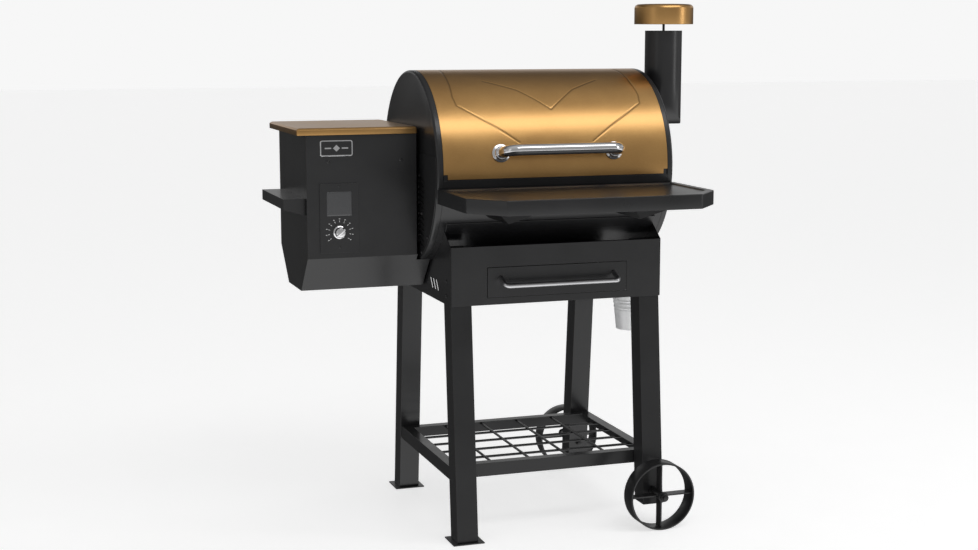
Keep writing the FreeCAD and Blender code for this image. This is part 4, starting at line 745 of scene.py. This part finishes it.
def heads(node):
    """Centre and half size of each separate solid in a node. Equal points are merged, then every
    triangle passes the lowest label of its corners to all three, until no label changes."""
    mesh = frame["nodes"][node].data
    points = np.empty(len(mesh.vertices) * 3)
    mesh.vertices.foreach_get("co", points)
    corners = np.empty(len(mesh.polygons) * 3, dtype=np.int32)
    mesh.polygons.foreach_get("vertices", corners)
    points, same = np.unique(np.round(points.reshape(-1, 3) / MM, 2), axis=0, return_inverse=True)
    corners = same.reshape(-1)[corners].reshape(-1, 3)
    label, previous = np.arange(len(points)), None
    while previous is None or (label != previous).any():
        previous = label.copy()
        np.minimum.at(label, corners.ravel(), np.repeat(label[corners].min(1), 3))
    solids = [points[label == k] for k in np.unique(label)]
    return [((p.max(0) + p.min(0)) / 2, (p.max(0) - p.min(0)) / 2) for p in solids]


parts = []
for middle, size in heads("panel_screws"):
    thin = int(np.argmin(size))
    radius, depth = float(np.max(size)), float(size[thin]) * 2
    way = np.zeros(3)
    way[thin] = -1.0 if (thin == 1 or middle[0] < 0) else 1.0
    seat = middle - way * depth / 2
    dome = rounded([(0, 0), (radius, 0), (radius * 0.96, depth * 0.5), (radius * 0.62, depth * 0.96),
                    (radius * 0.36, depth), (radius * 0.30, depth * 0.45), (0, depth * 0.35)], 0.3, 3)
    parts.append(lathe(dome, seat, way, 28))
piece("screw_heads", *joined(*parts), "frame", "black_paint", ["panel_screws"])
print("screws", len(parts))

# %% [markdown]
# ## Studio
# The grill stands on a pale floor in a pale room, the way a catalogue shows it. Glossy
# black sheet shows whatever it faces, so the room has to be arranged for it: the floor is
# hidden from glossy rays, and a sky takes its place that is soft and grey in front, dark
# behind, and bright only in a low band behind, which puts the thin glow along the top of
# the lid. A long light in front and above draws the bright band along the lid, and two
# tall weak ones at the sides put a sheen on the legs, the pipe and the barrel's ends. The
# camera stands a little left of the front, just above the height of the barrel's axis.

# %% Floor, lights and camera
piece_count = len(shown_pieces())
floor_mesh = bpy.data.meshes.new("floor")
floor_mesh.from_pydata([(-30, -30, 0), (30, -30, 0), (30, 30, 0), (-30, 30, 0)], [], [(0, 1, 2, 3)])
floor = bpy.data.objects.new("floor", floor_mesh)
bpy.context.scene.collection.objects.link(floor)
paper = finish("floor_pale", (0.66, 0.66, 0.66), (0.70, 0.70, 0.70), 0.0, (0.5, 0.6), 40, 0.02)
paper.node_tree.nodes["Principled BSDF"].inputs["Emission Color"].default_value = (1, 1, 1, 1)
paper.node_tree.nodes["Principled BSDF"].inputs["Emission Strength"].default_value = 0.62
floor_mesh.materials.append(paper)
floor.visible_glossy = False

world = bpy.data.worlds.new("studio")
bpy.context.scene.world = world
world.use_nodes = True
nodes, links = world.node_tree.nodes, world.node_tree.links
sky = nodes["Background"]
way = nodes.new("ShaderNodeTexCoord")
split = nodes.new("ShaderNodeSeparateXYZ")
links.new(way.outputs["Generated"], split.inputs[0])


def fade(axis, start, end, first, last):
    """Smoothstep in one coordinate of the sky direction: first at start, last at end."""
    node = nodes.new("ShaderNodeMapRange")
    node.interpolation_type = "SMOOTHSTEP"
    for key, value in (("From Min", start), ("From Max", end), ("To Min", first), ("To Max", last)):
        node.inputs[key].default_value = value
    links.new(split.outputs[axis], node.inputs["Value"])
    return node.outputs["Result"]


def combine(operation, a, b):
    """One arithmetic step between two sky values."""
    node = nodes.new("ShaderNodeMath")
    node.operation = operation
    links.new(a, node.inputs[0])
    links.new(b, node.inputs[1])
    return node.outputs[0]


glow = combine("MULTIPLY", fade("Z", 0.50, 0.22, 0.0, 0.62), fade("Z", -0.02, 0.16, 0.0, 1.0))
glow = combine("MULTIPLY", glow, fade("Y", -0.3, 0.7, 0.0, 1.0))
level = combine("ADD", glow, fade("Y", -0.1, 0.6, 0.36, 0.06))
bounce = combine("MULTIPLY", fade("Z", -0.05, -0.45, 0.0, 0.95), fade("Y", 0.6, -0.2, 0.0, 1.0))
level = combine("ADD", level, bounce)
level = combine("ADD", level, fade("Z", 0.45, 0.85, 0.0, 0.15))
seen = nodes.new("ShaderNodeLightPath")
strength = nodes.new("ShaderNodeMix")
strength.inputs["B"].default_value = 0.93
links.new(seen.outputs["Is Camera Ray"], strength.inputs["Factor"])
links.new(level, strength.inputs["A"])
links.new(strength.outputs["Result"], sky.inputs["Strength"])
sky.inputs["Color"].default_value = (1, 1, 1, 1)


def softbox(name, where, target, size, power):
    """A square area light at where, facing target."""
    lamp = bpy.data.lights.new(name, "AREA")
    lamp.shape = "RECTANGLE"
    lamp.size, lamp.size_y = size
    lamp.energy = power
    made = bpy.data.objects.new(name, lamp)
    bpy.context.scene.collection.objects.link(made)
    way = np.array(target, float) - np.array(where, float)
    made.location = where
    tip, turn = math.acos(-way[2] / np.linalg.norm(way)), math.atan2(way[1], way[0]) - math.pi / 2
    made.rotation_euler = (tip, 0, turn)
    return made


softbox("overhead", (0.7, -1.8, 3.1), (0.2, -0.1, 0.9), (3.0, 0.9), 22)
softbox("left", (-3.4, -1.6, 1.9), (0, 0, 0.7), (1.0, 2.4), 3)
softbox("right", (3.2, -2.2, 1.6), (0, 0, 0.7), (0.8, 2.4), 14)

lens = bpy.data.cameras.new("camera")
lens.lens, lens.sensor_width, lens.sensor_fit = 58.64, 36.0, "HORIZONTAL"
camera = bpy.data.objects.new("camera", lens)
bpy.context.scene.collection.objects.link(camera)
camera.location = (-1.316, -3.586, 1.150)
camera.rotation_euler = (math.radians(81.35), 0, math.radians(-18.883))
bpy.context.scene.camera = camera
bpy.context.scene.view_settings.view_transform = "Standard"
print("pieces", piece_count)
